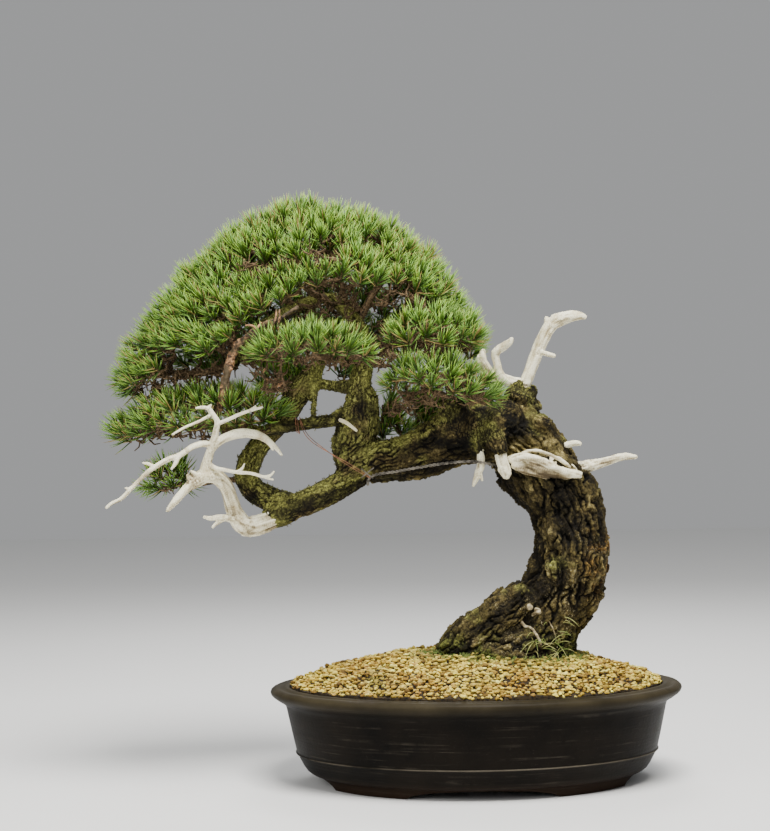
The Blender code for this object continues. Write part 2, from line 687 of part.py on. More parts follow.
def make_shoot(base, axis, carrier, keep_clear, draw, parts):
    """A shoot: its foot is drawn out into the twig that carries it, and its upper faces into needles."""
    bm = shoot_core()
    turn = Matrix.Rotation(draw.uniform(0.0, math.tau), 4, "Z")
    bm.transform(Matrix.Translation(base) @ axis.to_track_quat("Z", "Y").to_matrix().to_4x4() @ turn)
    faces = sorted(bm.faces, key=lambda face: (face.calc_center_median() - base).dot(axis))
    foot, needles = faces[0], faces[SHOOT_BARE_FACES:]
    drawn = bmesh.ops.extrude_discrete_faces(bm, faces=[foot])["faces"][0]
    middle = drawn.calc_center_median()
    for vertex in drawn.verts:
        vertex.co = carrier + (vertex.co - middle) * TWIG_TAPER
    for face in reversed(needles):
        root = face.calc_center_median()
        side = (root - base) - axis * (root - base).dot(axis)
        lean = 0.45 + 0.9 * max(0.0, (root - base).dot(axis)) / (SHOOT_RADIUS * SHOOT_STRETCH)
        for attempt in range(5):
            stray = Vector([draw.uniform(-0.22, 0.22) for _ in range(3)])
            way = (side.normalized() + axis * lean + stray).normalized()
            length = NEEDLE_LENGTH * draw.uniform(0.82, 1.08) * (1.0 - 0.15 * attempt)
            start, tip = root + way * 0.001, root + way * length
            if keep_clear.to_pieces(start, tip) < NEEDLE_CLEARANCE:
                continue
            if keep_clear.to_solids(start, tip, 0.004) < NEEDLE_CLEARANCE * 1.5:
                continue
            bmesh.ops.poke(bm, faces=[face])["verts"][0].co = tip
            keep_clear.add(start, tip, NEEDLE_RADIUS)
            break
    return object_from("shoot", bm, parts)


def make_branch(name, stem, parts, bark, keep_clear):
    """The stem of a spray, seated on the living wood."""
    stem = in_metres(stem)
    branch = cut(tube(name, stem, parts, sides_level=0, smooth=False), bark)
    for start, end in zip(stem, stem[1:]):
        keep_clear.add(start[:3], end[:3], (start[3] + end[3]) / 2)
    return branch


def add_shoots(branch, spray, keep_clear):
    """Grows each shoot of a spray from the nearest wood nearer to the stem's end."""
    centre, half, count, stem = spray
    draw = random.Random(branch.name)
    centre, half = Vector(centre) * MM, Vector(half) * MM
    knots = [Vector(point[:3]) * MM for point in stem[1:]]
    hub = knots[-1]
    carriers = [a.lerp(b, share) for a, b in zip(knots, knots[1:]) for share in (0.3, 0.65, 0.95)]
    repeats = new_collection(branch.name + "_shoots")
    places = shoot_places(centre, half, count, draw)
    places.sort(key=lambda place: (place[0] - hub).length)
    for place, way in places:
        for carrier in sorted(carriers, key=lambda c: (c - place).length + 0.15 * (c - hub).length)[:5]:
            run = place - carrier
            if run.length < 0.012:
                continue
            axis = (way * 0.8 + run.normalized() * 0.5 + Vector((0.0, 0.0, 0.5))).normalized()
            foot = place - axis * SHOOT_RADIUS * SHOOT_STRETCH
            start = carrier.lerp(foot, min(0.8, max(0.3, 0.010 / run.length)))
            if keep_clear.to_solids(start, foot, 0.008) < SHOOT_RADIUS + NEEDLE_CLEARANCE:
                continue
            if keep_clear.to_pieces(start, foot) < SHOOT_RADIUS:
                continue
            make_shoot(place, axis, carrier, keep_clear, draw, repeats)
            keep_clear.add(start, foot, SHOOT_RADIUS * 0.6)
            carriers.append(foot.lerp(carrier, 0.12))
            break
    return fused(branch, repeats)


# Wires

def loop_points(centre, axis, start, turns, pitch):
    """Points of a helix round an axis, from the place start, twelve to a turn."""
    axis = Vector(axis).normalized()
    out = Vector(start) - Vector(centre)
    count = round(turns * 12)
    return [
        Vector(centre) + Matrix.Rotation(turns * math.tau * index / count, 3, axis) @ out
        + axis * pitch * turns * index / count
        for index in range(count + 1)]


def evenly_spaced(points, spacing):
    """The same route, with points an even distance apart."""
    route = [points[0]]
    for target in points[1:]:
        while (target - route[-1]).length > spacing:
            route.append(route[-1] + (target - route[-1]).normalized() * spacing)
    return route


def drawn_taut(points, solids, clearance, rounds=16):
    """Draws a wire taut, while it is held off the surfaces that it lies on."""
    points = [point.copy() for point in points]
    for _ in range(rounds):
        for index in range(1, len(points) - 1):
            middle = (points[index - 1] + points[index + 1]) / 2
            points[index] = points[index].lerp(middle, 0.3)
        for solid in solids:
            for first, second in zip(points, points[1:]):
                for share in (0.0, 0.25, 0.5, 0.75):
                    point = first.lerp(second, share)
                    nearest, normal, _, distance = solid.find_nearest(point, 0.03)
                    if nearest is None:
                        continue
                    room = math.copysign(distance, (point - nearest).dot(normal))
                    if room < clearance:
                        first += normal * (clearance - room)
                        second += normal * (clearance - room) * min(1.0, share * 2)
    return points


def make_wire(name, route, radius, solids, parts):
    laid = drawn_taut(evenly_spaced(route, WIRE_STEP), solids, radius + WIRE_CLEARANCE)
    return tube(name, [(*point, radius) for point in laid], parts, sides_level=0, smooth=False)


def guy_wire_route():
    """Round the main limb, along its front, and round the front right stub of bare wood."""
    limb, stub = GUY_WIRE_LIMB_LOOP, GUY_WIRE_STUB_LOOP
    first = loop_points(Vector(limb[0]) * MM, (1, 0, 0), Vector(limb[1]) * MM, 1.5, 0.0055)
    last = loop_points(Vector(stub[0]) * MM, (0, 0, 1), Vector(stub[1]) * MM, 1.2, -0.0055)
    return first + [Vector(point) * MM for point in GUY_WIRE_RUN] + last


def branch_wire_route():
    """Round the cross limb, down over the open window, and round the lower limb."""
    cross, lower = BRANCH_WIRE_CROSS_LOOP, BRANCH_WIRE_LOWER_LOOP
    first = loop_points(Vector(cross[0]) * MM, (1, 0, 0), Vector(cross[1]) * MM, 1.5, 0.004)
    last = loop_points(Vector(lower[0]) * MM, (0.75, 0.15, 0.6), Vector(lower[1]) * MM, 1.3, 0.004)
    return first + [Vector(point) * MM for point in BRANCH_WIRE_RUN] + last


def stand_on_origin(parts, name):
    """Hangs every piece on one empty, and moves it so that the origin is under the middle of the whole."""
    bpy.context.view_layer.update()
    places = np.array([
        piece.matrix_world @ vertex.co for piece in parts.objects for vertex in piece.data.vertices])
    low, high = places.min(axis=0), places.max(axis=0)
    root = bpy.data.objects.new(name, None)
    parts.objects.link(root)
    for piece in list(parts.objects):
        if piece is not root:
            piece.parent = root
    root.location = (-(low[0] + high[0]) / 2, -(low[1] + high[1]) / 2, -low[2])


def main():
    clear_scene()
    parts = new_collection("pine_bonsai")
    cutters = new_collection("cutters")
    bark_skin = material("bark", (0.13, 0.095, 0.05), 0.9)
    bare_skin = material("bare_wood", (0.72, 0.68, 0.60), 0.7)
    leaf_skin = material("needles", (0.16, 0.30, 0.07), 0.6)
    clay_skin = material("clay", (0.035, 0.026, 0.022), 0.55)
    grit_skin = material("gravel", (0.55, 0.45, 0.27), 0.9)
    wire_skin = material("dark_wire", (0.06, 0.045, 0.035), 0.5, 0.8)
    copper_skin = material("copper_wire", (0.30, 0.13, 0.08), 0.45, 0.9)
    mesh_skin = material("mesh_plastic", (0.03, 0.03, 0.03), 0.6)

    trunk = finish(make_trunk(parts), bark_skin, 50)
    bark = swollen(trunk, GAP, cutters)
    finish(make_pot(parts, cutters), clay_skin, 35)
    finish(make_soil(parts, cutters, bark), grit_skin)
    for x, side in drain_places():
        finish(make_drain_mesh(x, side, parts, cutters), mesh_skin)
        finish(make_staple(x, side, parts), wire_skin)

    solids = [tree_of(trunk)]
    neighbours = [bark]
    for name, branches in DEADWOOD.items():
        wood = finish(make_deadwood(name, branches, parts, [*neighbours, trunk]), bare_skin, 60)
        neighbours.append(swollen(wood, GAP, cutters))
        solids.append(tree_of(wood))

    for name, route, radius, skin in (
            ("guy_wire", guy_wire_route(), GUY_WIRE_RADIUS, wire_skin),
            ("branch_wire", branch_wire_route(), BRANCH_WIRE_RADIUS, copper_skin)):
        wire = finish(make_wire(name, route, radius, solids, parts), skin, 60)
        solids.append(tree_of(wire))

    keep_clear = Clearance(solids)
    branches = [make_branch(name, spray[3], parts, bark, keep_clear) for name, spray in SPRAYS.items()]
    for branch, spray in zip(branches, SPRAYS.values()):
        finish(add_shoots(branch, spray, keep_clear), leaf_skin)

    for cutter in neighbours:
        remove_object(cutter)
    bpy.data.collections.remove(cutters)
    stand_on_origin(parts, "pine_bonsai_root")


main()
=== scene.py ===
# %% [markdown]
# # A pine bonsai in an oval pot
#
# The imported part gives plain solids: a pot, its soil, a trunk, pieces of bare wood, wires and sprays
# with a few needles each. This lesson dresses them. Every piece stays where its solid is, and gets the
# surface, the small parts and the finish of the real thing.

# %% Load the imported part
import math
import random

import bpy
import numpy as np
from mathutils import Matrix, Vector, noise
from mathutils.bvhtree import BVHTree
from mathutils.kdtree import KDTree


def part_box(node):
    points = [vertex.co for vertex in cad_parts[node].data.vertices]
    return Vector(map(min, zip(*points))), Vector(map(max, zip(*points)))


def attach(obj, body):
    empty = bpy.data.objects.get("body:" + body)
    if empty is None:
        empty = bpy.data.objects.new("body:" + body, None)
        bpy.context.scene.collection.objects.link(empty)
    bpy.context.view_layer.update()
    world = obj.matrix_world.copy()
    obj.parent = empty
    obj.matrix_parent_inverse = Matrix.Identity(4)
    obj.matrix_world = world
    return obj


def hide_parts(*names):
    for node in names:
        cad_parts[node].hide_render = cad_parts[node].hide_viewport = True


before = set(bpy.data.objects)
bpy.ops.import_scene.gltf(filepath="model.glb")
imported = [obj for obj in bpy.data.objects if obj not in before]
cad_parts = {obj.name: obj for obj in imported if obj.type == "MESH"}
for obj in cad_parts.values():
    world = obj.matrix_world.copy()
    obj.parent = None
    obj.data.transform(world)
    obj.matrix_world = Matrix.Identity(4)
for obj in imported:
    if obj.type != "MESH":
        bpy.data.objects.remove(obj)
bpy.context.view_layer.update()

pot_low, pot_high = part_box("pot")
POT_CENTRE = Vector(((pot_low[0] + pot_high[0]) / 2, (pot_low[1] + pot_high[1]) / 2, 0.0))

# %% [markdown]
# ## The camera
#
# A tree on a show table is seen from a little over two metres, with the lens near the middle of its
# height. The camera leans a touch to one side, as one in the hand does. It comes first, because every
# later choice is judged through it.

# %% Camera
# The tree is measured from a line 103 mm to the left of the pot's middle, and from 7 mm below its feet.
TREE = Vector((POT_CENTRE.x - 0.1030, POT_CENTRE.y, -0.0070))
MM = 0.001
camera_data = bpy.data.cameras.new("camera")
camera_data.sensor_width = 36.0
camera_data.lens = 74.08
camera_data.clip_start = 0.05
camera = bpy.data.objects.new("camera", camera_data)
bpy.context.scene.collection.objects.link(camera)
camera.matrix_world = (
    Matrix.Translation(TREE + Vector((0.0, -2.05, 0.4005)))
    @ Matrix.Rotation(math.radians(91.1525), 4, "X")
    @ Matrix.Rotation(math.radians(-0.95), 4, "Z"))
bpy.context.scene.camera = camera
print("camera at", [round(v, 3) for v in camera.matrix_world.translation])

# %% [markdown]
# ## Small helpers
#
# Operators act on what is selected, so each step first selects just its own piece. The other helpers
# move whole lists of points between a mesh and an array, which is much faster than one by one.


# %% Selecting, copying and finishing
def choose(piece):
    """Selects one piece and nothing else."""
    if bpy.context.object and bpy.context.object.mode != "OBJECT":
        bpy.ops.object.mode_set(mode="OBJECT")
    bpy.ops.object.select_all(action="DESELECT")
    piece.select_set(True)
    bpy.context.view_layer.objects.active = piece
    return piece


def named(name):
    """Gives the piece that an operator has just made its name, and returns it."""
    piece = bpy.context.object
    piece.name = name
    piece.data.name = name
    return choose(piece)


def apply_all(piece):
    """Applies every modifier, and the piece's own place, to its mesh."""
    choose(piece)
    for modifier in list(piece.modifiers):
        bpy.ops.object.modifier_apply(modifier=modifier.name)
    bpy.ops.object.transform_apply(location=True, rotation=True, scale=True)
    return piece


def fine_skin(piece, square, rounds=0):
    """Grows a piece together in one even skin of small squares, and softens the skin."""
    skin = piece.modifiers.new("skin", "REMESH")
    skin.mode = "VOXEL"
    skin.voxel_size = square
    if rounds:
        soften = piece.modifiers.new("soften", "SMOOTH")
        soften.factor = 0.5
        soften.iterations = rounds
    return apply_all(piece)


def copy_of(node, name):
    """A piece with a merged copy of a solid's mesh, to work on."""
    piece = bpy.data.objects.new(name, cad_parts[node].data.copy())
    bpy.context.scene.collection.objects.link(piece)
    piece.data.materials.clear()
    choose(piece)
    bpy.ops.object.mode_set(mode="EDIT")
    bpy.ops.mesh.select_all(action="SELECT")
    bpy.ops.mesh.remove_doubles(threshold=0.000002)
    bpy.ops.object.mode_set(mode="OBJECT")
    return piece


def dress(piece, material, slot, *nodes):
    """Gives a finished piece its material and hides the solids that it stands for. The slot is not used.
    """
    piece.data.materials.clear()
    piece.data.materials.append(material)
    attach(piece, "root")
    if nodes:
        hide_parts(*nodes)
    triangles = sum(len(face.vertices) - 2 for face in piece.data.polygons)
    print(piece.name, triangles, "triangles")
    return piece


# %% Points, normals and numbers of a mesh as arrays
def points_of(mesh):
    """The mesh's points, one row of three for each."""
    flat = np.empty(len(mesh.vertices) * 3, np.float32)
    mesh.vertices.foreach_get("co", flat)
    return flat.reshape(-1, 3).astype(float)


def normals_of(mesh):
    """Which way the surface faces at each point."""
    flat = np.empty(len(mesh.vertices) * 3, np.float32)
    mesh.vertex_normals.foreach_get("vector", flat)
    return flat.reshape(-1, 3).astype(float)


def set_points(mesh, points):
    mesh.vertices.foreach_set("co", np.ascontiguousarray(points, np.float32).ravel())
    mesh.update()


def set_number(mesh, name, values):
    """Stores one number at each point, for a material to read."""
    attribute = mesh.attributes.get(name) or mesh.attributes.new(name, "FLOAT", "POINT")
    attribute.data.foreach_set("value", np.ascontiguousarray(values, np.float32))


def ramp(values, low, high):
    """0 below low, 1 above high, and a soft step between."""
    share = np.clip((values - low) / (high - low), 0.0, 1.0)
    return share * share * (3.0 - 2.0 * share)


def noise_at(points, cell, shift=0.0):
    """Soft noise in space, with bumps about one cell across."""
    places = (points / cell + shift).tolist()
    return np.fromiter(map(noise.noise, places), float, len(points))


def tree_of(mesh):
    """A search tree over a mesh's faces."""
    mesh.calc_loop_triangles()
    corners = [tuple(triangle.vertices) for triangle in mesh.loop_triangles]
    return BVHTree.FromPolygons(points_of(mesh).tolist(), corners)


# %% [markdown]
# ### Copies by the hundred
#
# Needles, grains and moss are each modelled once and then copied many times. All copies of one kind
# go into a single mesh, and each copy keeps its own faces, turned and sized by its own matrix.


# %% Many copies in one mesh
def mesh_arrays(mesh):
    """A small model's points, corner list, face sizes and stored numbers."""
    corners = np.empty(len(mesh.loops), np.int64)
    mesh.loops.foreach_get("vertex_index", corners)
    sizes = np.empty(len(mesh.polygons), np.int64)
    mesh.polygons.foreach_get("loop_total", sizes)
    numbers = {}
    for attribute in mesh.attributes:
        if attribute.data_type == "FLOAT" and attribute.domain == "POINT":
            values = np.empty(len(mesh.vertices), np.float32)
            attribute.data.foreach_get("value", values)
            numbers[attribute.name] = values
    return points_of(mesh), corners, sizes, numbers


def scattered(name, models, places, **of_each):
    """One mesh with a copy of models[i] for each (i, matrix) in places, and numbers for each copy."""
    kinds = [mesh_arrays(model.data) for model in models]
    points, corners, sizes, first = [], [], [], 0
    numbers = {key: [] for key in (*kinds[0][3], *of_each)}
    for index, (kind, matrix) in enumerate(places):
        model_points, model_corners, model_sizes, model_numbers = kinds[kind]
        turn = np.array(matrix)
        points.append(model_points @ turn[:3, :3].T + turn[:3, 3])
        corners.append(model_corners + first)
        sizes.append(model_sizes)
        for key, values in model_numbers.items():
            numbers[key].append(values)
        for key, values in of_each.items():
            numbers[key].append(np.full(len(model_points), values[index]))
        first += len(model_points)
    return mesh_piece(name, points, corners, sizes, numbers)


def mesh_piece(name, points, corners, sizes, numbers):
    """A new piece from lists of arrays."""
    points, corners, sizes = (np.concatenate(part) for part in (points, corners, sizes))
    mesh = bpy.data.meshes.new(name)
    mesh.vertices.add(len(points))
    mesh.vertices.foreach_set("co", points.astype(np.float32).ravel())
    mesh.loops.add(len(corners))
    mesh.loops.foreach_set("vertex_index", corners.astype(np.int32))
    mesh.polygons.add(len(sizes))
    starts = np.concatenate([[0], np.cumsum(sizes)[:-1]])
    mesh.polygons.foreach_set("loop_start", starts.astype(np.int32))
    mesh.update(calc_edges=True)
    mesh.validate()
    for key, values in numbers.items():
        set_number(mesh, key, np.concatenate(values))
    mesh.shade_smooth()
    piece = bpy.data.objects.new(name, mesh)
    bpy.context.scene.collection.objects.link(piece)
    return piece


# %% Tubes along lines of points, for strips, twigs, wires and blades
def tubes(name, lines, sides=1, smooth=True):
    """One mesh of round tubes. Each line is a list of (x, y, z, radius)."""
    data = bpy.data.curves.new(name, "CURVE")
    data.dimensions = "3D"
    data.bevel_depth = 1.0
    data.bevel_resolution = sides
    data.use_fill_caps = True
    data.resolution_u = 3
    for line in lines:
        spline = data.splines.new("BEZIER" if smooth else "POLY")
        knots = spline.bezier_points if smooth else spline.points
        knots.add(len(line) - 1)
        for knot, (x, y, z, radius) in zip(knots, line):
            knot.co = (x, y, z) if smooth else (x, y, z, 1.0)
            knot.radius = radius
            if smooth:
                knot.handle_left_type = "AUTO"
                knot.handle_right_type = "AUTO"
    piece = bpy.data.objects.new(name, data)
    bpy.context.scene.collection.objects.link(piece)
    choose(piece)
    bpy.ops.object.convert(target="MESH")
    bpy.ops.object.shade_smooth()
    return choose(bpy.context.object)


def on_tree(line):
    """Turns a line in millimetres on the tree into metres in the scene."""
    return [(*(TREE + Vector(point[:3]) * MM), *(value * MM for value in point[3:])) for point in line]


# %% [markdown]
# ## Node groups that the finishes share
#
# Two effects turn up on almost every surface: blotches of lighter and darker tone, and a fine
# roughness that catches the light. Each is a group with named inputs, built once.


# %% Helpers for shader nodes
def add_node(tree, kind, links=None, **settings):
    """Adds a node, sets its properties or numbers, and links its inputs."""
    made = tree.nodes.new(kind)
    for key, value in settings.items():
        if hasattr(made, key):
            setattr(made, key, value)
        else:
            made.inputs[key.replace("_", " ")].default_value = value
    for key, source in (links or {}).items():
        tree.links.new(source, made.inputs[key])
    return made


def new_group(name, inputs, outputs):
    """An empty node group with number inputs and the outputs named."""
    tree = bpy.data.node_groups.new(name, "ShaderNodeTree")
    for label, value in inputs.items():
        socket = tree.interface.new_socket(label, in_out="INPUT", socket_type="NodeSocketFloat")
        socket.default_value = value
    for label, kind in outputs.items():
        tree.interface.new_socket(label, in_out="OUTPUT", socket_type=kind)
    return tree, tree.nodes.new("NodeGroupInput"), tree.nodes.new("NodeGroupOutput")


# %% Blotches
blotches, entry, leave = new_group(
    "blotches", {"Scale": 40.0, "Low": 0.4, "High": 0.6}, {"Mask": "NodeSocketFloat"})
place = add_node(blotches, "ShaderNodeTexCoord")
cloud = add_node(
    blotches, "ShaderNodeTexNoise", {"Vector": place.outputs["Object"], "Scale": entry.outputs["Scale"]},
    Detail=4.0, Roughness=0.6)
spread = add_node(
    blotches, "ShaderNodeMapRange",
    {"Value": cloud.outputs["Fac"], "From Min": entry.outputs["Low"], "From Max": entry.outputs["High"]})
blotches.links.new(spread.outputs["Result"], leave.inputs["Mask"])

# %% Fine roughness
fine_relief, entry, leave = new_group(
    "fine_relief", {"Scale": 600.0, "Strength": 0.4, "Depth": 0.0004}, {"Normal": "NodeSocketVector"})
place = add_node(fine_relief, "ShaderNodeTexCoord")
grit = add_node(
    fine_relief, "ShaderNodeTexNoise",
    {"Vector": place.outputs["Object"], "Scale": entry.outputs["Scale"]}, Detail=3.0, Roughness=0.65)
bump = add_node(fine_relief, "ShaderNodeBump", {
    "Height": grit.outputs["Fac"], "Strength": entry.outputs["Strength"],
    "Distance": entry.outputs["Depth"]})
fine_relief.links.new(bump.outputs["Normal"], leave.inputs["Normal"])
print("node groups", [group.name for group in (blotches, fine_relief)])


# %% Helpers that put a material together
def new_material(name, roughness, metallic=0.0, gloss=0.5):
    """A material with plain numbers on its shader, its node tree and the shader."""
    made = bpy.data.materials.new(name)
    made.use_nodes = True
    shader = made.node_tree.nodes["Principled BSDF"]
    shader.inputs["Roughness"].default_value = roughness
    shader.inputs["Metallic"].default_value = metallic
    shader.inputs["Specular IOR Level"].default_value = gloss
    return made, made.node_tree, shader


def use_group(tree, group, **values):
    """Places a node group in a material, with its own numbers."""
    made = tree.nodes.new("ShaderNodeGroup")
    made.node_tree = group
    for key, value in values.items():
        made.inputs[key].default_value = value
    return made


def patchy(tree, scale, low, high):
    """Blotches as a share from 0 to 1. The higher low and high are, the less they cover."""
    return use_group(tree, blotches, Scale=scale, Low=low, High=high).outputs["Mask"]


def number(tree, name):
    """Reads a number that was stored at the mesh's points."""
    return add_node(tree, "ShaderNodeAttribute", attribute_name=name).outputs["Fac"]


def blend(tree, share, first, second):
    """Mixes two colours, each a colour or another node's output, by a number from 0 to 1."""
    mix = tree.nodes.new("ShaderNodeMix")
    mix.data_type = "RGBA"
    tree.links.new(share, mix.inputs["Factor"])
    for socket, colour in ((mix.inputs[6], first), (mix.inputs[7], second)):
        if isinstance(colour, tuple):
            socket.default_value = (*colour, 1.0)
        else:
            tree.links.new(colour, socket)
    return mix.outputs[2]


def share_of(tree, value, low, high, at_low=0.0, at_high=1.0):
    """Turns a number that runs from low to high into one that runs from at_low to at_high."""
    spread = add_node(tree, "ShaderNodeMapRange", {"Value": value}, From_Min=low, From_Max=high,
                      To_Min=at_low, To_Max=at_high)
    return spread.outputs["Result"]


def product(tree, first, second):
    """Multiplies two numbers."""
    return add_node(tree, "ShaderNodeMath", {0: first, 1: second}, operation="MULTIPLY").outputs[0]


def times(tree, first, second):
    """Multiplies two colours."""
    mix = tree.nodes.new("ShaderNodeMix")
    mix.data_type = "RGBA"
    mix.blend_type = "MULTIPLY"
    mix.inputs["Factor"].default_value = 1.0
    tree.links.new(first, mix.inputs[6])
    tree.links.new(second, mix.inputs[7])
    return mix.outputs[2]


def colour_ramp(tree, share, stops):
    """A run of colours along a number from 0 to 1."""
    made = tree.nodes.new("ShaderNodeValToRGB")
    tree.links.new(share, made.inputs["Fac"])
    steps = made.color_ramp.elements
    while len(steps) < len(stops):
        steps.new(0.5)
    for step, (position, colour) in zip(steps, stops):
        step.position = position
        step.color = (*colour, 1.0)
    return made.outputs["Color"]


def coloured(tree, shader, tone):
    """Gives a material its colour."""
    tree.links.new(tone, shader.inputs["Base Color"])


def relief(tree, shader, scale, strength, depth):
    """Gives a material the fine roughness."""
    rough = use_group(tree, fine_relief, Scale=scale, Strength=strength, Depth=depth)
    tree.links.new(rough.outputs["Normal"], shader.inputs["Normal"])


# %% [markdown]
# ## Which way the wood runs
#
# Bark splits along the limb and bleached wood shows its fibres, so both need the direction of growth at
# every point. On a round limb all the normals lean away from one line. The direction in which the
# normals around a point change least is that line, and a small 3 by 3 matrix of the normals gives it.


# %% Direction and thickness of the limbs
def growth_of(mesh, rounds=10):
    """The direction of growth and the wood's thickness at each point of a coarse mesh."""
    normals = normals_of(mesh)
    points = points_of(mesh)
    products = np.einsum("ni,nj->nij", normals, normals).reshape(-1, 9)
    edges = np.empty(len(mesh.edges) * 2, np.int64)
    mesh.edges.foreach_get("vertices", edges)
    first, second = edges[0::2], edges[1::2]
    count = np.bincount(edges, minlength=len(points))[:, None] + 1.0
    for _ in range(rounds):
        total = products.copy()
        np.add.at(total, first, products[second])
        np.add.at(total, second, products[first])
        products = total / count
    directions = np.linalg.eigh(products.reshape(-1, 3, 3))[1][:, :, 0]
    tree = tree_of(mesh)
    thickness = np.empty(len(points))
    for index, (point, normal) in enumerate(zip(points.tolist(), normals.tolist())):
        start = Vector(point) - Vector(normal) * 0.0005
        hit = tree.ray_cast(start, -Vector(normal))[3]
        thickness[index] = hit or 0.01
    return points, directions, thickness


def growth_at(points, growth):
    """The same two, carried over to other points from the three nearest."""
    places, directions, thickness = growth
    search = KDTree(len(places))
    for index, place in enumerate(places):
        search.insert(place, index)
    search.balance()
    found = [search.find_n(point, 3) for point in points.tolist()]
    near = np.array([[hit[1] for hit in hits] for hits in found])
    weight = 1.0 / (np.array([[hit[2] for hit in hits] for hits in found]) + 0.001)
    weight /= weight.sum(1, keepdims=True)
    base = directions[near[:, 0]]
    sign = np.sign(np.einsum("nki,ni->nk", directions[near], base))
    mixed = np.einsum("nk,nk,nki->ni", weight, sign, directions[near])
    mixed /= np.linalg.norm(mixed, axis=1, keepdims=True)
    return mixed, (weight * thickness[near]).sum(1)


def streaks(points, directions, cell, reach, shift=0.0, steps=4):
    """Noise that is drawn out along the direction of growth, with a spread of about 1."""
    total = np.zeros(len(points))
    for step in range(-steps, steps + 1):
        total += noise_at(points + directions * (reach * step / steps), cell, shift)
    return total / total.std()


# %% [markdown]
# ## Bark
#
# Old pine bark is a skin of thick plates that are longer than they are wide. Deep fissures part them
# along the trunk, shallower cracks across it, and each plate is made of thin flakes. Such plates are
# like the cells round scattered seeds, with the seeds' distances stretched along the growth. The solid
# first gets a fine even skin of small squares, its facets are smoothed out, and then every point moves
# along its normal by the height of its plate.

# %% The trunk, with short limbs that hang at the front, and bark that laps over the bare limb's root
SPURS = [
    [(152, -4, 452, 9), (143, -22, 446, 11), (131, -37, 434, 12.5), (125, -45, 421, 12.5),
     (129, -50, 409, 11.5),
     (134, -52, 400, 10), (136, -52, 393, 8)],
    [(124, -4, 440, 7), (119, -24, 436, 8), (113, -38, 425, 7.5), (110, -43, 412, 6.6),
     (110, -43, 401, 5.6),
     (111, -43, 394, 4.6)],
    [(168, -18, 436, 8), (182, -32, 430, 9), (196, -34, 424, 7)],
    [(150, -8, 466, 9), (158, -18, 462, 10), (170, -22, 456, 8)],
    [(84, -20, 454, 13), (85, -33, 441, 15), (83, -37, 428, 13), (80, -36, 418, 9)],
    [(150, -12, 460, 10), (157, -10, 472, 8.5), (162, -9, 481, 5)],
    [(172, -4, 458, 9), (177, -4, 468, 6.5), (179, -3, 474, 4)]]
COLLAR = [
    (-112, -20, 333, 15), (-124, -20, 327, 16), (-134, -20, 324, 15.5), (-142, -22, 324, 11),
    (-148, -23, 324, 7)]
# Below this height the gravel hides the wood, so it is cut away
BURIED = 0.124
bark = copy_of("trunk", "bark_trunk")
hanging = tubes("hanging_limbs", [on_tree(line) for line in (*SPURS, COLLAR)], sides=3)
choose(bark)
hanging.select_set(True)
bpy.ops.object.join()
trunk_growth = growth_of(bark.data)
fine_skin(bark, 0.00150, 12)
bpy.ops.object.mode_set(mode="EDIT")
bpy.ops.mesh.select_all(action="SELECT")
bpy.ops.mesh.bisect(
    plane_co=(0.0, 0.0, BURIED), plane_no=(0.0, 0.0, 1.0), clear_inner=True, use_fill=True)
bpy.ops.object.mode_set(mode="OBJECT")
print("bark points", len(bark.data.vertices))


# %% Seeds of plates, and the plates round them
def spaced_seeds(points, grown, width, length, tries, seed, room=0.62):
    """Picks scattered points, no two of them nearer to each other than most of a plate."""
    order = np.random.default_rng(seed).permutation(len(points))[:tries]
    chosen = np.empty(tries, int)
    count = 0
    for index in order.tolist():
        away = points[chosen[:count]] - points[index]
        along = away @ grown[index]
        across = (away * away).sum(1) - along * along
        if count == 0 or (along * along / length[index] ** 2 + across / width[index] ** 2).min() > room:
            chosen[count] = index
            count += 1
    return chosen[:count]


def plates_round(places, seeds, points, grown, width, length, count):
    """For each place: distance to its plate's edge, how upright that edge is, and the plate's number."""
    search = KDTree(len(seeds))
    for number_of, seed in enumerate(seeds.tolist()):
        search.insert(points[seed], number_of)
    search.balance()
    near = np.array([[hit[1] for hit in search.find_n(place, count)] for place in places.tolist()])
    spots, ways, wide, long = points[seeds], grown[seeds], width[seeds], length[seeds]
    away = places[:, None, :] - spots[near]
    along = np.einsum("nki,nki->nk", away, ways[near])
    across = (away * away).sum(2) - along * along
    reach = along * along / long[near] ** 2 + across / wide[near] ** 2
    order = np.argsort(reach, axis=1)[:, :2]
    rows = np.arange(len(places))
    first, second = near[rows, order[:, 0]], near[rows, order[:, 1]]
    gap = spots[second] - spots[first]
    gap_along = (gap * ways[first]).sum(1)
    gap_across = np.sqrt(np.maximum((gap * gap).sum(1) - gap_along ** 2, 0.0))
    slope_along, slope_across = gap_along / long[first] ** 2, gap_across / wide[first] ** 2
    slope = np.sqrt(slope_along ** 2 + slope_across ** 2)
    edge = (reach[rows, order[:, 1]] - reach[rows, order[:, 0]]) / (2.0 * slope)
    return edge, (slope_across / slope) ** 2, first, along[rows, order[:, 0]]


def wander(points, cell):
    """Soft noise with a direction, to bend what would else be straight."""
    return np.array([tuple(noise.noise_vector(place)) for place in (points / cell).tolist()])


def gap_to(points, line):
    """Distance from each point to a tapered line, negative inside it."""
    line = np.array(on_tree(line))
    nearest = np.full(len(points), 9.0)
    for start, end in zip(line, line[1:]):
        way = end[:3] - start[:3]
        share = np.clip((points - start[:3]) @ way / (way @ way), 0.0, 1.0)
        away = np.linalg.norm(points - start[:3] - share[:, None] * way, axis=1)
        nearest = np.minimum(nearest, away - start[3] - share * (end[3] - start[3]))
    return nearest


# %% Plates, and the flakes that they are made of
places = points_of(bark.data)
outward = normals_of(bark.data)
grown, thickness = growth_at(places, trunk_growth)
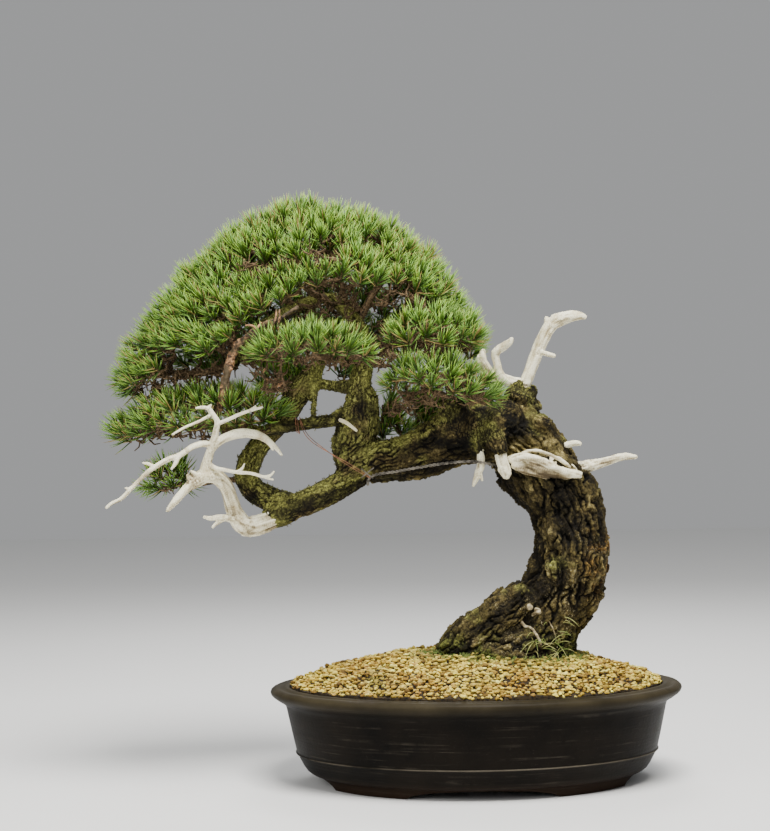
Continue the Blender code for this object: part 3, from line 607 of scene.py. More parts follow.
# 0 on the thin branches, 1 on the trunk
girth = ramp(thickness, 0.016, 0.085)
plate_width = 0.0040 + 0.0062 * girth
plate_length = 0.0120 + 0.0200 * girth
slow, quick = wander(places, 0.016), wander(places, 0.0050)
moved = places + slow * (0.0022 + 0.0042 * girth)[:, None] + quick * (0.0008 + 0.0014 * girth)[:, None]
seeds = spaced_seeds(places, grown, plate_width, plate_length, 26000, 5, 0.40)
edge, upright, plate, rise = plates_round(moved, seeds, places, grown, plate_width, plate_length, 8)
flake_seeds = np.random.default_rng(9).permutation(len(places))[:13000]
flake_edge, _, flake, flake_rise = plates_round(
    places + quick * 0.0020, flake_seeds, places, grown, plate_width * 0.36, plate_length * 0.32, 6)
print("plates", len(seeds), "flakes", len(flake_seeds))

# %% Height of the bark
# Some fissures are deep, others almost closed. Low ridges and hollows run along the whole trunk.
draw = np.random.default_rng(17)
plate_tone, plate_tilt = draw.random(len(seeds))[plate], draw.normal(0.0, 1.0, len(seeds))[plate]
flake_step = draw.random(len(flake_seeds))[flake]
flake_tilt = draw.normal(0.0, 1.0, len(flake_seeds))[flake]
crumbs = noise_at(places, 0.0023, 31.0)
lumps = noise_at(places, 0.045, 47.0)
ridges = streaks(places, grown, 0.019, 0.050, 83.0)
fibre = streaks(places, grown, 0.0034, 0.012, 89.0)
shoulder = 0.0008 + 0.0019 * girth
closed = ramp(noise_at(places, 0.021, 71.0), -0.18, 0.40)
opened = (1.0 - ramp(edge, 0.0, shoulder)) * (1.0 - 0.80 * closed) * (0.30 + 0.70 * upright)
relief_depth = 0.0012 + 0.0050 * girth
GROOVES = [
    [(204, -50, 380, 1.5), (207, -52, 371, 2.4), (210, -54, 352, 2.6), (213, -54, 332, 2.4),
     (210, -54, 312, 2.2),
     (206, -54, 290, 2.4), (209, -54, 262, 2.0), (203, -54, 238, 1.0)],
    [(230, -46, 356, 1.4), (236, -44, 336, 1.8), (238, -42, 312, 1.2)],
    [(168, -36, 452, 1.6), (167, -40, 436, 2.2), (172, -44, 420, 2.6), (186, -46, 416, 1.6)]]
grooves = np.min([gap_to(places, line) for line in GROOVES], axis=0)
groove = 1.0 - ramp(grooves + 0.0012 * crumbs, 0.0, 0.0055)
height = (
    -0.0034 * groove
    + relief_depth * ((1.0 - opened) * (0.80 + 0.34 * plate_tone) - 0.70)
    + 0.035 * girth * plate_tilt * np.clip(rise, -0.02, 0.02)
    + (0.0004 + 0.0013 * girth) * (flake_step - 0.5)
    + (0.02 + 0.05 * girth) * flake_tilt * np.clip(flake_rise, -0.008, 0.008)
    - (0.0003 + 0.0007 * girth) * (1.0 - ramp(flake_edge, 0.0, 0.0008))
    + 0.0005 * crumbs + 0.0010 * lumps + (0.0003 + 0.0009 * girth) * ridges
    + 0.00022 * fibre + 0.0010 * girth)
height = np.clip(height, -0.0070, 0.0070)
set_points(bark.data, places + outward * height[:, None])
print("relief", round(height.min() * 1000, 1), "to", round(height.max() * 1000, 1), "mm")

# %% Where moss sits on the bark, and the painted shade in its fissures
# Moss likes the limbs, the upper sides and the foot of the trunk, and a few spots besides.
upward = outward[:, 2]
across, level = places[:, 0] - TREE.x, places[:, 2]
patches = noise_at(places, 0.030, 61.0) + 0.5 * noise_at(places, 0.010, 67.0)
left_of_trunk = ramp(-across, -0.10, 0.06)
moss_share = 0.26 + 0.62 * left_of_trunk + 0.40 * upward + 0.8 * patches
moss_share -= 0.40 * girth * (1.0 - left_of_trunk)
MOSSY_SPOTS = [
    ((126, -44, 424), 30), ((108, -40, 410), 18), ((192, -20, 446), 34), ((224, 0, 420), 30),
    ((232, -10, 300), 34), ((205, -45, 262), 30), ((30, -30, 452), 46), ((78, -34, 432), 30),
    ((176, -6, 466), 28), ((158, -10, 474), 20)]
for (x, y, z), reach in MOSSY_SPOTS:
    away = np.linalg.norm(places - np.array(TREE + Vector((x, y, z)) * MM), axis=1)
    moss_share += 0.45 * (1.0 - ramp(away, 0.4 * reach * MM, reach * MM))
# Fissures, the furrows between ridges and the edges of flakes get painted shade, darker the lower they
# lie. Moss grows less there.
fissure_shade = (1.0 - opened) * (0.40 + 0.60 * ramp(ridges, -1.2, 0.5))
fissure_shade *= 0.40 + 0.60 * ramp(flake_edge, 0.0, 0.0009)
moss = ramp(moss_share, 0.30, 0.95) * (0.55 + 0.45 * fissure_shade)
foot = 1.0 - ramp(level, 0.145, 0.190)
wet_moss = foot * ramp(patches, -0.20, 0.35)
hollow = np.maximum(fissure_shade, (0.44 + 0.10 * fibre) * moss)
print("mossy share of the bark", round(float(moss.mean()), 2))


# %% Rust, painted light on the right edge, and painted shade
# The trunk's right flank is reddish. Higher up, its right edge is a pale ridge of painted light, the bark
# just above the torn strip gets painted light and less moss, and the bark under the hanging spurs, in the
# deep groove and on the trunk's inner side gets painted shade.
def band(values, low, full, full_to, high):
    """1 between the two middle numbers, 0 outside the outer two, with a soft step between."""
    return ramp(values, low, full) * (1.0 - ramp(values, full_to, high))


flank = ramp(across, 0.215, 0.262) * band(level, 0.20, 0.235, 0.27, 0.315)
rust = flank * ramp(patches + 0.5 * fibre / 3.0, -0.10, 0.55)
spur_gap = np.min([gap_to(places, line) for line in SPURS], axis=0)
under_spurs = band(across, 0.052, 0.066, 0.160, 0.174) * band(level, 0.384, 0.396, 0.424, 0.440)
lower = 1.0 - ramp(level, 0.404, 0.412)
under_spurs *= np.where(across < 0.100, lower, 1.0)
under_spurs *= 1.0 - 0.9 * ramp(across, 0.140, 0.150) * lower
# Both lines are given as heights, and how far to the right they lie at each height
RIDGE_LINE = (0.372, 0.380, 0.402, 0.419, 0.449), (0.222, 0.212, 0.197, 0.180, 0.166)
BEND_LINE = (0.225, 0.255, 0.305, 0.330, 0.365), (0.190, 0.206, 0.208, 0.209, 0.200)
lit_ridge = 1.0 - ramp(np.abs(across - np.interp(level, *RIDGE_LINE)), 0.004, 0.014)
lit_ridge *= band(level, 0.368, 0.380, 0.440, 0.452) * ramp(-outward[:, 1], -0.2, 0.3)
lit_front = band(across, 0.138, 0.150, 0.200, 0.212) * band(level, 0.378, 0.386, 0.402, 0.412)
shaded_inner_side = 1.0 - ramp(across - np.interp(level, *BEND_LINE), -0.006, 0.004)
shaded_inner_side *= band(level, 0.240, 0.290, 0.372, 0.385)
# Painted shade under the spurs, along the deep groove and on the trunk's inner side, where the crown
# shades it
shade = (1.0 - 0.80 * under_spurs * ramp(spur_gap, 0.0015, 0.0045)) * (1.0 - 0.85 * groove)
shade *= 1.0 - 0.34 * shaded_inner_side * ramp(across, 0.100, 0.140)
lichen = ramp(noise_at(places, 0.034, 91.0), -0.15, 0.25) * (1.0 - ramp(level, 0.27, 0.33))
print("shaded share of the bark", round(float(1.0 - shade.mean()), 2))

# %% Numbers that the bark's material reads
tone_share = 0.40 * plate_tone + 0.40 * flake_step + 0.10 + 0.10 * np.clip(fibre, -1.5, 1.5)
# The lit ridge and the lit bark above the strip get painted light: a paler tone and less moss
tone_share += 0.30 * lit_ridge + 0.40 * lit_front
moss *= 1.0 - 0.55 * np.maximum(lit_ridge, lit_front)
hollow = np.maximum(hollow, (0.60 + 0.12 * fibre) * lit_ridge)
hollow = np.maximum(hollow, (0.66 + 0.14 * fibre) * lit_front)
for name, values in (
        ("hollow", hollow), ("tone", tone_share), ("moss", moss), ("wet_moss", wet_moss), ("rust", rust),
        ("shade", shade), ("lichen", lichen)):
    set_number(bark.data, name, values)

# %% Scales of bark, finer than the mesh
scaly, entry, leave = new_group(
    "scaly", {"Scale": 300.0, "Strength": 0.6, "Depth": 0.001},
    {"Value": "NodeSocketFloat", "Edge": "NodeSocketFloat", "Normal": "NodeSocketVector"})
place = add_node(scaly, "ShaderNodeTexCoord")
cloud = add_node(
    scaly, "ShaderNodeTexNoise", {"Vector": place.outputs["Object"]}, Scale=260.0, Detail=3.0)
shift = add_node(scaly, "ShaderNodeVectorMath", {0: cloud.outputs["Color"]}, operation="SCALE")
shift.inputs["Scale"].default_value = 0.005
moved_place = add_node(
    scaly, "ShaderNodeVectorMath", {0: place.outputs["Object"], 1: shift.outputs[0]}, operation="ADD")
cells = add_node(
    scaly, "ShaderNodeTexVoronoi", {"Vector": moved_place.outputs[0], "Scale": entry.outputs["Scale"]})
each = add_node(scaly, "ShaderNodeSeparateColor", {"Color": cells.outputs["Color"]})
height_of = add_node(
    scaly, "ShaderNodeMath", {0: each.outputs["Red"], 1: cloud.outputs["Fac"]}, operation="ADD")
bump = add_node(scaly, "ShaderNodeBump", {
    "Height": height_of.outputs[0], "Strength": entry.outputs["Strength"],
    "Distance": entry.outputs["Depth"]})
for label, source in (("Value", each.outputs["Red"]), ("Edge", cells.outputs["Distance"]),
                      ("Normal", bump.outputs["Normal"])):
    scaly.links.new(source, leave.inputs[label])

# %% Bark material
bark_finish, tree, shader = new_material("bark", 0.88, gloss=0.20)
wide = patchy(tree, 55.0, 0.38, 0.64)
small = patchy(tree, 420.0, 0.38, 0.62)
scales = use_group(tree, scaly, Scale=300.0, Strength=1.0, Depth=0.0019)
tone = colour_ramp(tree, number(tree, "tone"), [
    (0.15, (0.030, 0.023, 0.010)), (0.42, (0.080, 0.062, 0.024)), (0.66, (0.150, 0.120, 0.047)),
    (0.92, (0.330, 0.280, 0.126))])
tone = blend(tree, wide, tone, (0.066, 0.054, 0.019))
fine = patchy(tree, 1100.0, 0.36, 0.64)
dusk = blend(tree, small, (0.56, 0.54, 0.52), (1.25, 1.23, 1.16))
scale_dusk = blend(tree, scales.outputs["Value"], (0.60, 0.58, 0.56), (1.22, 1.21, 1.16))
moss_tone = blend(tree, fine, (0.134, 0.144, 0.036), (0.362, 0.384, 0.116))
tone = blend(tree, number(tree, "moss"), tone, moss_tone)
rust_tone = blend(tree, small, (0.075, 0.038, 0.008), (0.300, 0.160, 0.036))
tone = blend(tree, number(tree, "rust"), tone, rust_tone)
specks = patchy(tree, 640.0, 0.585, 0.63)
tone = blend(tree, product(tree, specks, number(tree, "lichen")), tone, (0.40, 0.37, 0.26))
green = blend(tree, small, (0.020, 0.030, 0.005), (0.120, 0.145, 0.030))
tone = blend(tree, number(tree, "wet_moss"), tone, green)
tone = times(tree, times(tree, tone, dusk), scale_dusk)
tone = times(tree, tone, colour_ramp(tree, number(tree, "shade"), [
    (0.0, (0.0, 0.0, 0.0)), (1.0, (1.0, 1.0, 1.0))]))
# Painted shade deep in the fissures, and painted light on the ridges and lit places, paler than the bark's
# own colour
tone = times(tree, tone, colour_ramp(tree, number(tree, "hollow"), [
    (0.0, (0.010, 0.009, 0.008)), (0.28, (0.13, 0.12, 0.11)), (0.56, (0.66, 0.65, 0.61)),
    (0.92, (1.20, 1.19, 1.14))]))
coloured(tree, shader, tone)
tree.links.new(scales.outputs["Normal"], shader.inputs["Normal"])

# %% Fewer faces where the bark is even, and two pieces from one
thin_out = bark.modifiers.new("thin_out", "DECIMATE")
thin_out.ratio = 0.84
apply_all(bark)
bark.data.shade_smooth()
bark_tree = tree_of(bark.data)
bpy.ops.object.mode_set(mode="EDIT")
bpy.ops.mesh.select_mode(type="FACE")
bpy.ops.mesh.select_all(action="DESELECT")
bpy.ops.object.mode_set(mode="OBJECT")
middle = np.empty(len(bark.data.polygons) * 3, np.float32)
bark.data.polygons.foreach_get("center", middle)
bark.data.polygons.foreach_set("select", (middle[0::3] < TREE.x + 0.105).tolist())
bpy.ops.object.mode_set(mode="EDIT")
bpy.ops.mesh.separate(type="SELECTED")
bpy.ops.object.mode_set(mode="OBJECT")
bark_limbs = [piece for piece in bpy.context.selected_objects if piece != bark][0]
bark_limbs.name = "bark_limbs"
dress(bark, bark_finish, "bark", "trunk")
dress(bark_limbs, bark_finish, "bark", "trunk")

# %% [markdown]
# ## Bare wood
#
# Dead limbs are stripped of bark and bleached. What is left is ivory wood with long fibres, shallow
# hollows between hard ridges, and a darker brown in the hollows. The simple limbs keep their solid's form
# under a fine skin. The others are drawn anew as tubes along finer lines, with the knots and twigs that
# the solid leaves out. The same streaks that split the bark, only finer and shallower, become fibres.


# %% Bare wood material
bare_finish, tree, shader = new_material("bare_wood", 0.62, gloss=0.35)
fibres = number(tree, "fibres")
stain = patchy(tree, 60.0, 0.52, 0.74)
grime = patchy(tree, 700.0, 0.50, 0.72)
tone = colour_ramp(tree, fibres, [
    (0.0, (0.095, 0.068, 0.034)), (0.30, (0.32, 0.26, 0.150)), (0.55, (0.66, 0.595, 0.40)),
    (0.82, (0.95, 0.905, 0.69))])
tone = times(tree, tone, blend(tree, stain, (1.0, 1.0, 1.0), (0.62, 0.56, 0.43)))
tone = times(tree, tone, blend(tree, grime, (1.0, 1.0, 1.0), (0.72, 0.67, 0.54)))
coloured(tree, shader, tone)
relief(tree, shader, 1100.0, 0.25, 0.0003)


# %% Fine skin and fibres on each dead limb
def draw_fibres(piece, growth):
    """Moves the surface into ridges and threads along the growth. Gives how pale each point is, with
    painted shade on the undersides.
    """
    points = points_of(piece.data)
    normals = normals_of(piece.data)
    directions, thick = growth_at(points, growth)
    size = np.clip(thick / 0.018, 0.25, 1.2)
    hollows = streaks(points, directions, 0.0060, 0.018, 5.0)
    threads = streaks(points, directions, 0.0022, 0.010, 13.0)
    height = size * (0.00048 * hollows + 0.00014 * threads) + 0.0003
    set_points(piece.data, points + normals * height[:, None])
    piece.data.shade_smooth()
    # Thick wood is stained darker, and surfaces that face down get painted shade
    stain_and_underside_shade = 0.22 * ramp(thick, 0.009, 0.022) + 0.16 * ramp(-normals[:, 2], -0.4, 0.7)
    return 0.80 + 0.16 * hollows + 0.15 * threads + 0.20 * noise_at(points, 0.022, 29.0) - stain_and_underside_shade, points


def make_bare(node):
    """A dead limb that keeps its solid's form under a fine skin."""
    piece = copy_of(node, "bare_" + node)
    growth = growth_of(piece.data, 6)
    fine_skin(piece, 0.0010, 7)
    set_number(piece.data, "fibres", draw_fibres(piece, growth)[0])
    return dress(piece, bare_finish, "bare_wood", node)


for node in ("jin_stub", "jin_right", "jin_right_small"):
    make_bare(node)


def draw_bare(node, lines, square, contrast=1.0, dirty=()):
    """A dead limb drawn anew along finer lines. Dirty places are (place, reach, how dark)."""
    piece = tubes("bare_" + node, [on_tree(line) for line in lines], sides=3)
    growth = growth_of(piece.data, 4)
    fine_skin(piece, square, 3)
    fibres, points = draw_fibres(piece, growth)
    fibres = 0.84 + contrast * (fibres - 0.80)
    for (x, y, z), reach, depth in dirty:
        near = np.linalg.norm(points - np.array(TREE + Vector((x, y, z)) * MM), axis=1)
        fibres -= depth * (1.0 - ramp(near, 0.3 * reach * MM, reach * MM))
    set_number(piece.data, "fibres", fibres)
    return dress(piece, bare_finish, "bare_wood", node)


# %% [markdown]
# ### The large bare limb
#
# It rises out of the lower limb, forks like an antler and ends in thin crooked twigs. Each line below is
# one twig, from the wood it grows from to its tip, and starts inside that wood, so that the skin grows
# them together without a seam.

# %% The large bare limb on the left
BARE_LIMB = [
    [(-114, -20, 331, 5), (-126, -21, 324, 9), (-137, -23, 319, 11), (-147, -26, 315.5, 12),
     (-157, -29, 313, 12.5),
     (-167, -33, 314, 12),
     (-175, -37, 323, 10.5), (-181, -43, 341, 9), (-186, -50, 359, 8.6), (-196, -56, 371, 8.6),
     (-209, -62, 374, 8.8),
     (-220, -65, 368, 8), (-229, -68, 361, 5.6), (-236, -71, 354, 4.6), (-243, -74, 346, 4.4),
     (-249, -77, 339, 3.2),
     (-253, -79, 334, 1.8)],
    [(-221, -66, 368, 6.5), (-227, -68, 371, 4.2), (-230, -69, 376, 1.8)],
    [(-218, -67, 372, 5), (-223, -70, 377, 3), (-226, -71, 380, 1.2)],
    [(-168, -34, 318, 7), (-182, -42, 322, 4.2), (-194, -47, 325, 3.2), (-205, -51, 324, 2.6),
     (-214, -54, 326, 1.4)],
    [(-191, -45, 323, 3.2), (-199, -48, 318, 2.4), (-204, -50, 313, 1.2)],
    [(-150, -26, 312, 8), (-160, -28, 305, 4), (-163, -29, 301, 1.5)],
    [(-210, -62, 376, 7.5), (-208, -65, 387, 5.6), (-203, -69, 402, 4.6), (-198, -73, 416, 4.0),
     (-195, -75, 428, 3.2),
     (-194, -75, 437, 2.9), (-199, -76, 445, 2.7), (-203, -77, 451, 2.4), (-210, -78, 453, 1.8),
     (-218, -80, 452, 1.0)],
    [(-201, -76, 445, 2.0), (-203, -76, 453, 2.0), (-200, -76, 456, 1.0)],
    [(-201, -76, 444, 1.8), (-214, -81, 437, 1.6), (-230, -87, 430, 1.5), (-244, -92, 422, 1.0)],
    [(-193, -75, 434, 2.2), (-180, -76, 439, 1.8), (-166, -80, 445, 1.6), (-153, -82, 449, 1.5),
     (-140, -84, 452, 1.0)],
    [(-156, -82, 448, 1.6), (-148, -83, 454, 0.9)],
    [(-203, -70, 403, 4.2), (-192, -70, 414, 4.8), (-179, -68, 420, 5.4), (-165, -64, 422.5, 5.6),
     (-152, -60, 421, 5.2), (-142, -57, 417, 4.4), (-134, -56, 411, 3.0), (-127, -55, 404, 2.3),
     (-121, -54, 396, 1.2)],
    [(-140, -57, 415, 3.4), (-133, -58, 407, 1.9), (-131, -58, 402, 1.0)],
    [(-199, -70, 409, 3.8), (-211, -72, 411, 3.7), (-224, -76, 407, 3.5), (-236, -78, 399, 3.2),
     (-250, -82, 394, 3.0),
     (-262, -85, 387, 2.8), (-271, -88, 381, 2.8), (-281, -90, 372, 2.4), (-293, -92, 360, 2.5),
     (-304, -94, 349, 2.2),
     (-313, -95, 345, 2.0), (-321, -96, 339, 1.6)],
    [(-231, -78, 403, 2.8), (-239, -80, 396, 2.6), (-242, -81, 389, 2.3), (-247, -82, 382, 1.2)],
    [(-266, -87, 385, 2.4), (-272, -88, 389, 1.7), (-279, -90, 390, 0.9)],
    [(-294, -92, 360, 2.0), (-299, -93, 362, 0.9)],
    [(-206, -66, 391, 2.6), (-200, -68, 384, 2.4), (-186, -70, 380.5, 2.1), (-171, -70, 377.5, 2.0),
     (-156, -70, 376, 1.8), (-143, -70, 372, 1.7), (-130, -70, 368, 1.0)],
    [(-144, -70, 372, 1.7), (-134, -71, 373, 1.5), (-129, -72, 378, 0.9)],
    [(-172, -70, 378, 1.6), (-166, -71, 382, 1.3), (-163, -71, 388, 0.7)]]
draw_bare("jin_left", BARE_LIMB, 0.00095, 0.80, (
    ((-190, -50, 362), 26, 0.16), ((-225, -68, 368), 17, 0.50), ((-206, -68, 390), 16, 0.10),
    ((-178, -38, 336), 20, 0.16), ((-160, -62, 417), 20, 0.14)))

# %% [markdown]
# ### Bare limbs on the trunk's top, and two stubs at the front
#
# The tall limb bends over at its tip, the hooked one turns up and back, and the two stubs hang out of
# short living spurs. All are drawn as the large limb was.

# %% The tall and the hooked limb, and the two stubs that come out of their spurs at the front
draw_bare("jin_tall", [
    [(167, 2, 471, 7.0), (172.5, 2, 487, 7.2), (179, 2, 502, 7.3), (185, 2, 517, 7.3),
     (191, 1, 530, 7.2),
     (196, 0, 540, 7.5), (202, 0, 548, 8.0), (212, -2, 553.5, 8.3), (221, -3, 556, 7.0),
     (229.5, -4, 557, 5.8),
     (238, -5, 556.5, 4.2), (243, -6, 554.5, 2.0)],
    [(197.4, 0, 546, 4.6), (196, 0, 553, 3.0), (195.5, 0, 557.5, 1.6)],
    [(214, -2, 555, 5.6), (213.4, -2, 561, 2.2)],
    [(187, -2, 515, 3.0), (195, -6, 512, 2.6), (204.7, -10, 509, 2.2)]], 0.0010, 0.7)
draw_bare("jin_hook", [
    [(163, -4, 478, 6.0), (149, -8, 480, 6.6), (140, -11, 484.5, 5.9), (136, -13, 493.5, 5.0),
     (134.5, -14, 503, 4.5),
     (132.5, -15, 510.5, 4.6), (134.5, -16, 515.5, 5.0), (140.5, -17, 520, 4.9), (146.5, -19, 524, 4.4),
     (151, -21, 528, 3.3), (152, -22, 531, 2.0)],
    [(133, -14, 508, 3.6), (130.5, -15, 515, 2.6), (129.5, -15, 517, 1.6)]], 0.0009, 0.7)
draw_bare("jin_front_right", [
    [(134.5, -48, 399, 5.4), (134.8, -51, 392, 6.8), (136.3, -52, 384, 6.6), (138.4, -53, 376, 7.2),
     (140.5, -53, 370, 6.2), (140, -52, 365, 3.2)],
    [(135, -53, 377, 4.6), (133, -53, 372, 2.4)]], 0.0009, 0.8)
draw_bare("jin_front_left", [
    [(111, -43, 400, 3.2), (111.5, -44, 390, 4.4), (111, -44, 380, 4.6), (108, -44, 371, 4.4),
     (104, -44, 362, 2.8), (102, -44, 356, 1.2)],
    [(109, -44, 374, 3.6), (111.5, -45, 367, 2.2), (113, -45, 362, 1.0)]], 0.0009, 0.8)

# %% [markdown]
# ### The torn strip on the front
#
# Where a limb was torn off, the wood opens in a shallow scoop under a bright rounded ridge, with a
# thinner splinter above it and a dark slot between the two. The solid is the scoop's body. The ridge,
# the splinter and the lip are drawn as tubes and grow together with it in one skin, and then the scoop
# is pressed in below the ridge.

# %% Ridge, splinter and scoop
strip = copy_of("shari_plate", "bare_strip")
strip_growth = growth_of(strip.data, 6)
ridge = on_tree([
    (144, -44, 386, 4.0), (150, -50, 388, 5.2), (158, -54, 390, 4.8), (169, -57, 389, 4.2),
    (180, -58, 385.5, 4.0),
    (191, -57, 380, 3.8), (203, -54, 374, 3.6), (212, -51, 371, 4.2), (221, -46, 369, 4.8),
    (229, -41, 367.5, 3.6)])
splinter = on_tree([
    (156, -49, 391, 2.2), (163, -51, 395, 2.0), (174, -53, 397, 2.0), (187, -52, 394, 1.9),
    (199, -50, 389, 1.8),
    (208, -48, 383, 1.8), (216, -45, 376, 1.6)])
lip = on_tree([
    (150, -46, 384, 6.5), (157, -47, 379, 7.0), (167, -48, 374.5, 6.4), (179, -48, 371.5, 5.6),
    (192, -47, 368, 5.0)])
line = np.array(ridge)[:, :3]
points = points_of(strip.data)
over = points[:, 2] - np.interp(points[:, 0], line[:, 0], line[:, 2])
points[:, 1] = np.maximum(points[:, 1], TREE.y - 0.0535) + 0.016 * ramp(over, -0.0040, 0.0010)
set_points(strip.data, points)
torn = tubes("torn_edges", [ridge, splinter, lip], sides=3)
choose(strip)
torn.select_set(True)
bpy.ops.object.join()
fine_skin(strip, 0.0010, 5)
fibres, points = draw_fibres(strip, strip_growth)
below = np.interp(points[:, 0], line[:, 0], line[:, 2]) - points[:, 2]
scoop = band(below, 0.0025, 0.0070, 0.0120, 0.0200)
ends = band(points[:, 0], TREE.x + 0.150, TREE.x + 0.168, TREE.x + 0.200, TREE.x + 0.220)
front = ramp(-normals_of(strip.data)[:, 1], 0.0, 0.5)
pressed = points_of(strip.data)
pressed[:, 1] += 0.0050 * scoop * ends * front
set_points(strip.data, pressed)
# Painted shade darkens the scoop and the wood just below the ridge
set_number(strip.data, "fibres", fibres - 0.42 * scoop * ends - 0.20 * ramp(below, 0.004, 0.012))
dress(strip, bare_finish, "bare_wood", "shari_plate")

# %% [markdown]
# ### Short broken stubs
#
# One is on the front of the riser. The others are root ends that were cut at the foot of the trunk, with
# thin pale roots that lie on the bark below them. Each place is found by a ray from the front, so the
# pieces sit on the finished bark and not on the solid.


# %% Stubs and thin roots on the bark
def knot_at(x, z, radius):
    """A short blunt root end that stands on the bark, seen from the front."""
    start = TREE + Vector((x, -200, z)) * MM
    place, normal, _, _ = bark_tree.ray_cast(start, Vector((0, 1, 0)))
    way = (normal + Vector((0.3, -0.6, -0.2))).normalized()
    profile = ((-4, 1.1), (0, 1.0), (3, 0.9), (5, 0.5))
    return [(*(place + way * step * MM), radius * MM * size) for step, size in profile]


def on_bark(line):
    """A thin line that lies on the front of the bark."""
    found = []
    for x, z, radius in line:
        start = TREE + Vector((x, -200, z)) * MM
        place, normal, _, _ = bark_tree.ray_cast(start, Vector((0, 1, 0)))
        found.append((*(place + normal * 0.4 * MM), radius * MM))
    return found


stubs = tubes("bare_stubs", [
    on_tree([(-54, -22, 437, 2.4), (-47, -31, 434, 2.4), (-40, -36, 429, 2.2), (-33, -39, 423, 1.6)]),
    knot_at(166, 213, 4.0), knot_at(176, 208, 3.8), knot_at(171, 204, 2.2),
    on_bark([
        (156, 196, 2.4), (161, 190, 2.0), (166, 189, 1.6), (172, 182, 2.0), (177, 172, 1.5),
        (179, 160, 0.8)]),
    on_bark([(177, 200, 1.0), (181, 192, 1.2), (182.5, 187, 0.6)]),
    on_bark([(188, 197, 0.8), (193, 187, 1.1), (197, 174, 1.2), (198, 164, 0.8)])], sides=3)
fine_skin(stubs, 0.0010, 2)
points = points_of(stubs.data)
dark_end = 1.0 - ramp(points[:, 2], 0.28, 0.30)
mottle = np.clip(noise_at(points, 0.0035, 3.0), -0.4, 0.4)
set_number(stubs.data, "fibres", 0.62 - dark_end * (0.36 + 0.55 * mottle))
stubs.data.shade_smooth()
dress(stubs, bare_finish, "bare_wood")

# %% [markdown]
# ## Pot
#
# The pot is oval and unglazed. Its section is drawn once as a line of points, spun round an upright
# axis, and then pressed in from front to back. The rim has a shallow groove, a thin band runs low on
# the wall, and the foot is cut away in four flat arches.

# %% Section of the pot
POT_LENGTH = pot_high[0] - pot_low[0]
POT_WIDTH = pot_high[1] - pot_low[1]
BAND_HEIGHT = 0.0366
section = [
    (0.0, 0.0210), (0.1500, 0.0210), (0.1860, 0.0210), (0.2060, 0.0420), (0.2205, 0.1060),
    (0.2225, 0.1138), (0.2243, 0.1144), (0.2270, 0.1145), (0.2292, 0.1141), (0.2310, 0.1131),
    (0.2335, 0.1127), (0.2365, 0.1130), (0.2390, 0.1133), (0.2420, 0.1119), (0.2442, 0.1100),
    (0.2450, 0.1078), (0.2443, 0.1052), (0.2420, 0.1028), (0.2365, 0.0990), (0.2305, 0.0955),
    (0.2280, 0.0935), (0.2265, 0.0905), (0.2255, 0.0860), (0.2197, 0.0590), (0.2146, 0.0374),
    (0.2158, BAND_HEIGHT), (0.2157, BAND_HEIGHT - 0.0010), (0.2136, 0.0346), (0.2070, 0.0218),
    (0.2030, 0.0162),
    (0.1988, 0.0130), (0.1950, 0.0119), (0.1912, 0.0112), (0.1900, 0.0090), (0.1885, 0.0),
    (0.1720, 0.0), (0.1710, 0.0120), (0.1200, 0.0120), (0.0, 0.0120)]
mesh = bpy.data.meshes.new("pot_body")
mesh.from_pydata([(x, 0.0, z) for x, z in section], [(i, i + 1) for i in range(len(section) - 1)], [])
pot_body = bpy.data.objects.new("pot_body", mesh)
bpy.context.scene.collection.objects.link(pot_body)

# %% Spin it round, then press it to an oval
choose(pot_body)
bpy.ops.object.mode_set(mode="EDIT")
bpy.ops.mesh.select_all(action="SELECT")
bpy.ops.mesh.spin(steps=144, angle=math.tau, center=(0, 0, 0), axis=(0, 0, 1))
bpy.ops.mesh.select_all(action="SELECT")
bpy.ops.mesh.remove_doubles(threshold=0.00002)
bpy.ops.mesh.normals_make_consistent(inside=False)
bpy.ops.transform.resize(value=(1.0, POT_WIDTH / POT_LENGTH, 1.0))
bpy.ops.object.mode_set(mode="OBJECT")
print("pot", len(pot_body.data.polygons), "faces")

# %% Arches in the foot, and a hand-made unevenness
points = points_of(pot_body.data)
low_part = points[:, 2] < 0.0100


def arch(along, half_width):
    """How high an arch reaches, from 0 at its ends to 1 in the middle."""
    return np.sqrt(np.clip(1.0 - (along / half_width) ** 2, 0.0, 1.0))


front_arch = arch(points[:, 0], 0.085) * (np.abs(points[:, 1]) > 0.09)
end_arch = arch(points[:, 1], 0.060) * (np.abs(points[:, 0]) > 0.14)
lift = 0.0105 * np.maximum(front_arch, end_arch)
points[low_part, 2] = np.maximum(points[low_part, 2], lift[low_part])
uneven = noise_at(points, 0.060, 7.0) * 0.0004 + noise_at(points, 0.014, 9.0) * 0.00025
points[:, :2] *= (1.0 + uneven / 0.2)[:, None]
points[:, 2] += (noise_at(points, 0.030, 19.0) * 0.0005) * (points[:, 2] > 0.05)
points += np.array(POT_CENTRE)
set_points(pot_body.data, points)

# %% Drain holes
for side in (-1.0, 1.0):
    bpy.ops.mesh.primitive_cylinder_add(
        vertices=40, radius=0.012, depth=0.05, location=(POT_CENTRE.x + side * 0.1, POT_CENTRE.y, 0.015))
    drill = bpy.context.object
    hole = pot_body.modifiers.new("hole", "BOOLEAN")
    hole.operation = "DIFFERENCE"
    hole.solver = "EXACT"
    hole.object = drill
    apply_all(pot_body)
    bpy.data.objects.remove(drill, do_unlink=True)
choose(pot_body)
bpy.ops.object.shade_smooth_by_angle(angle=math.radians(40))

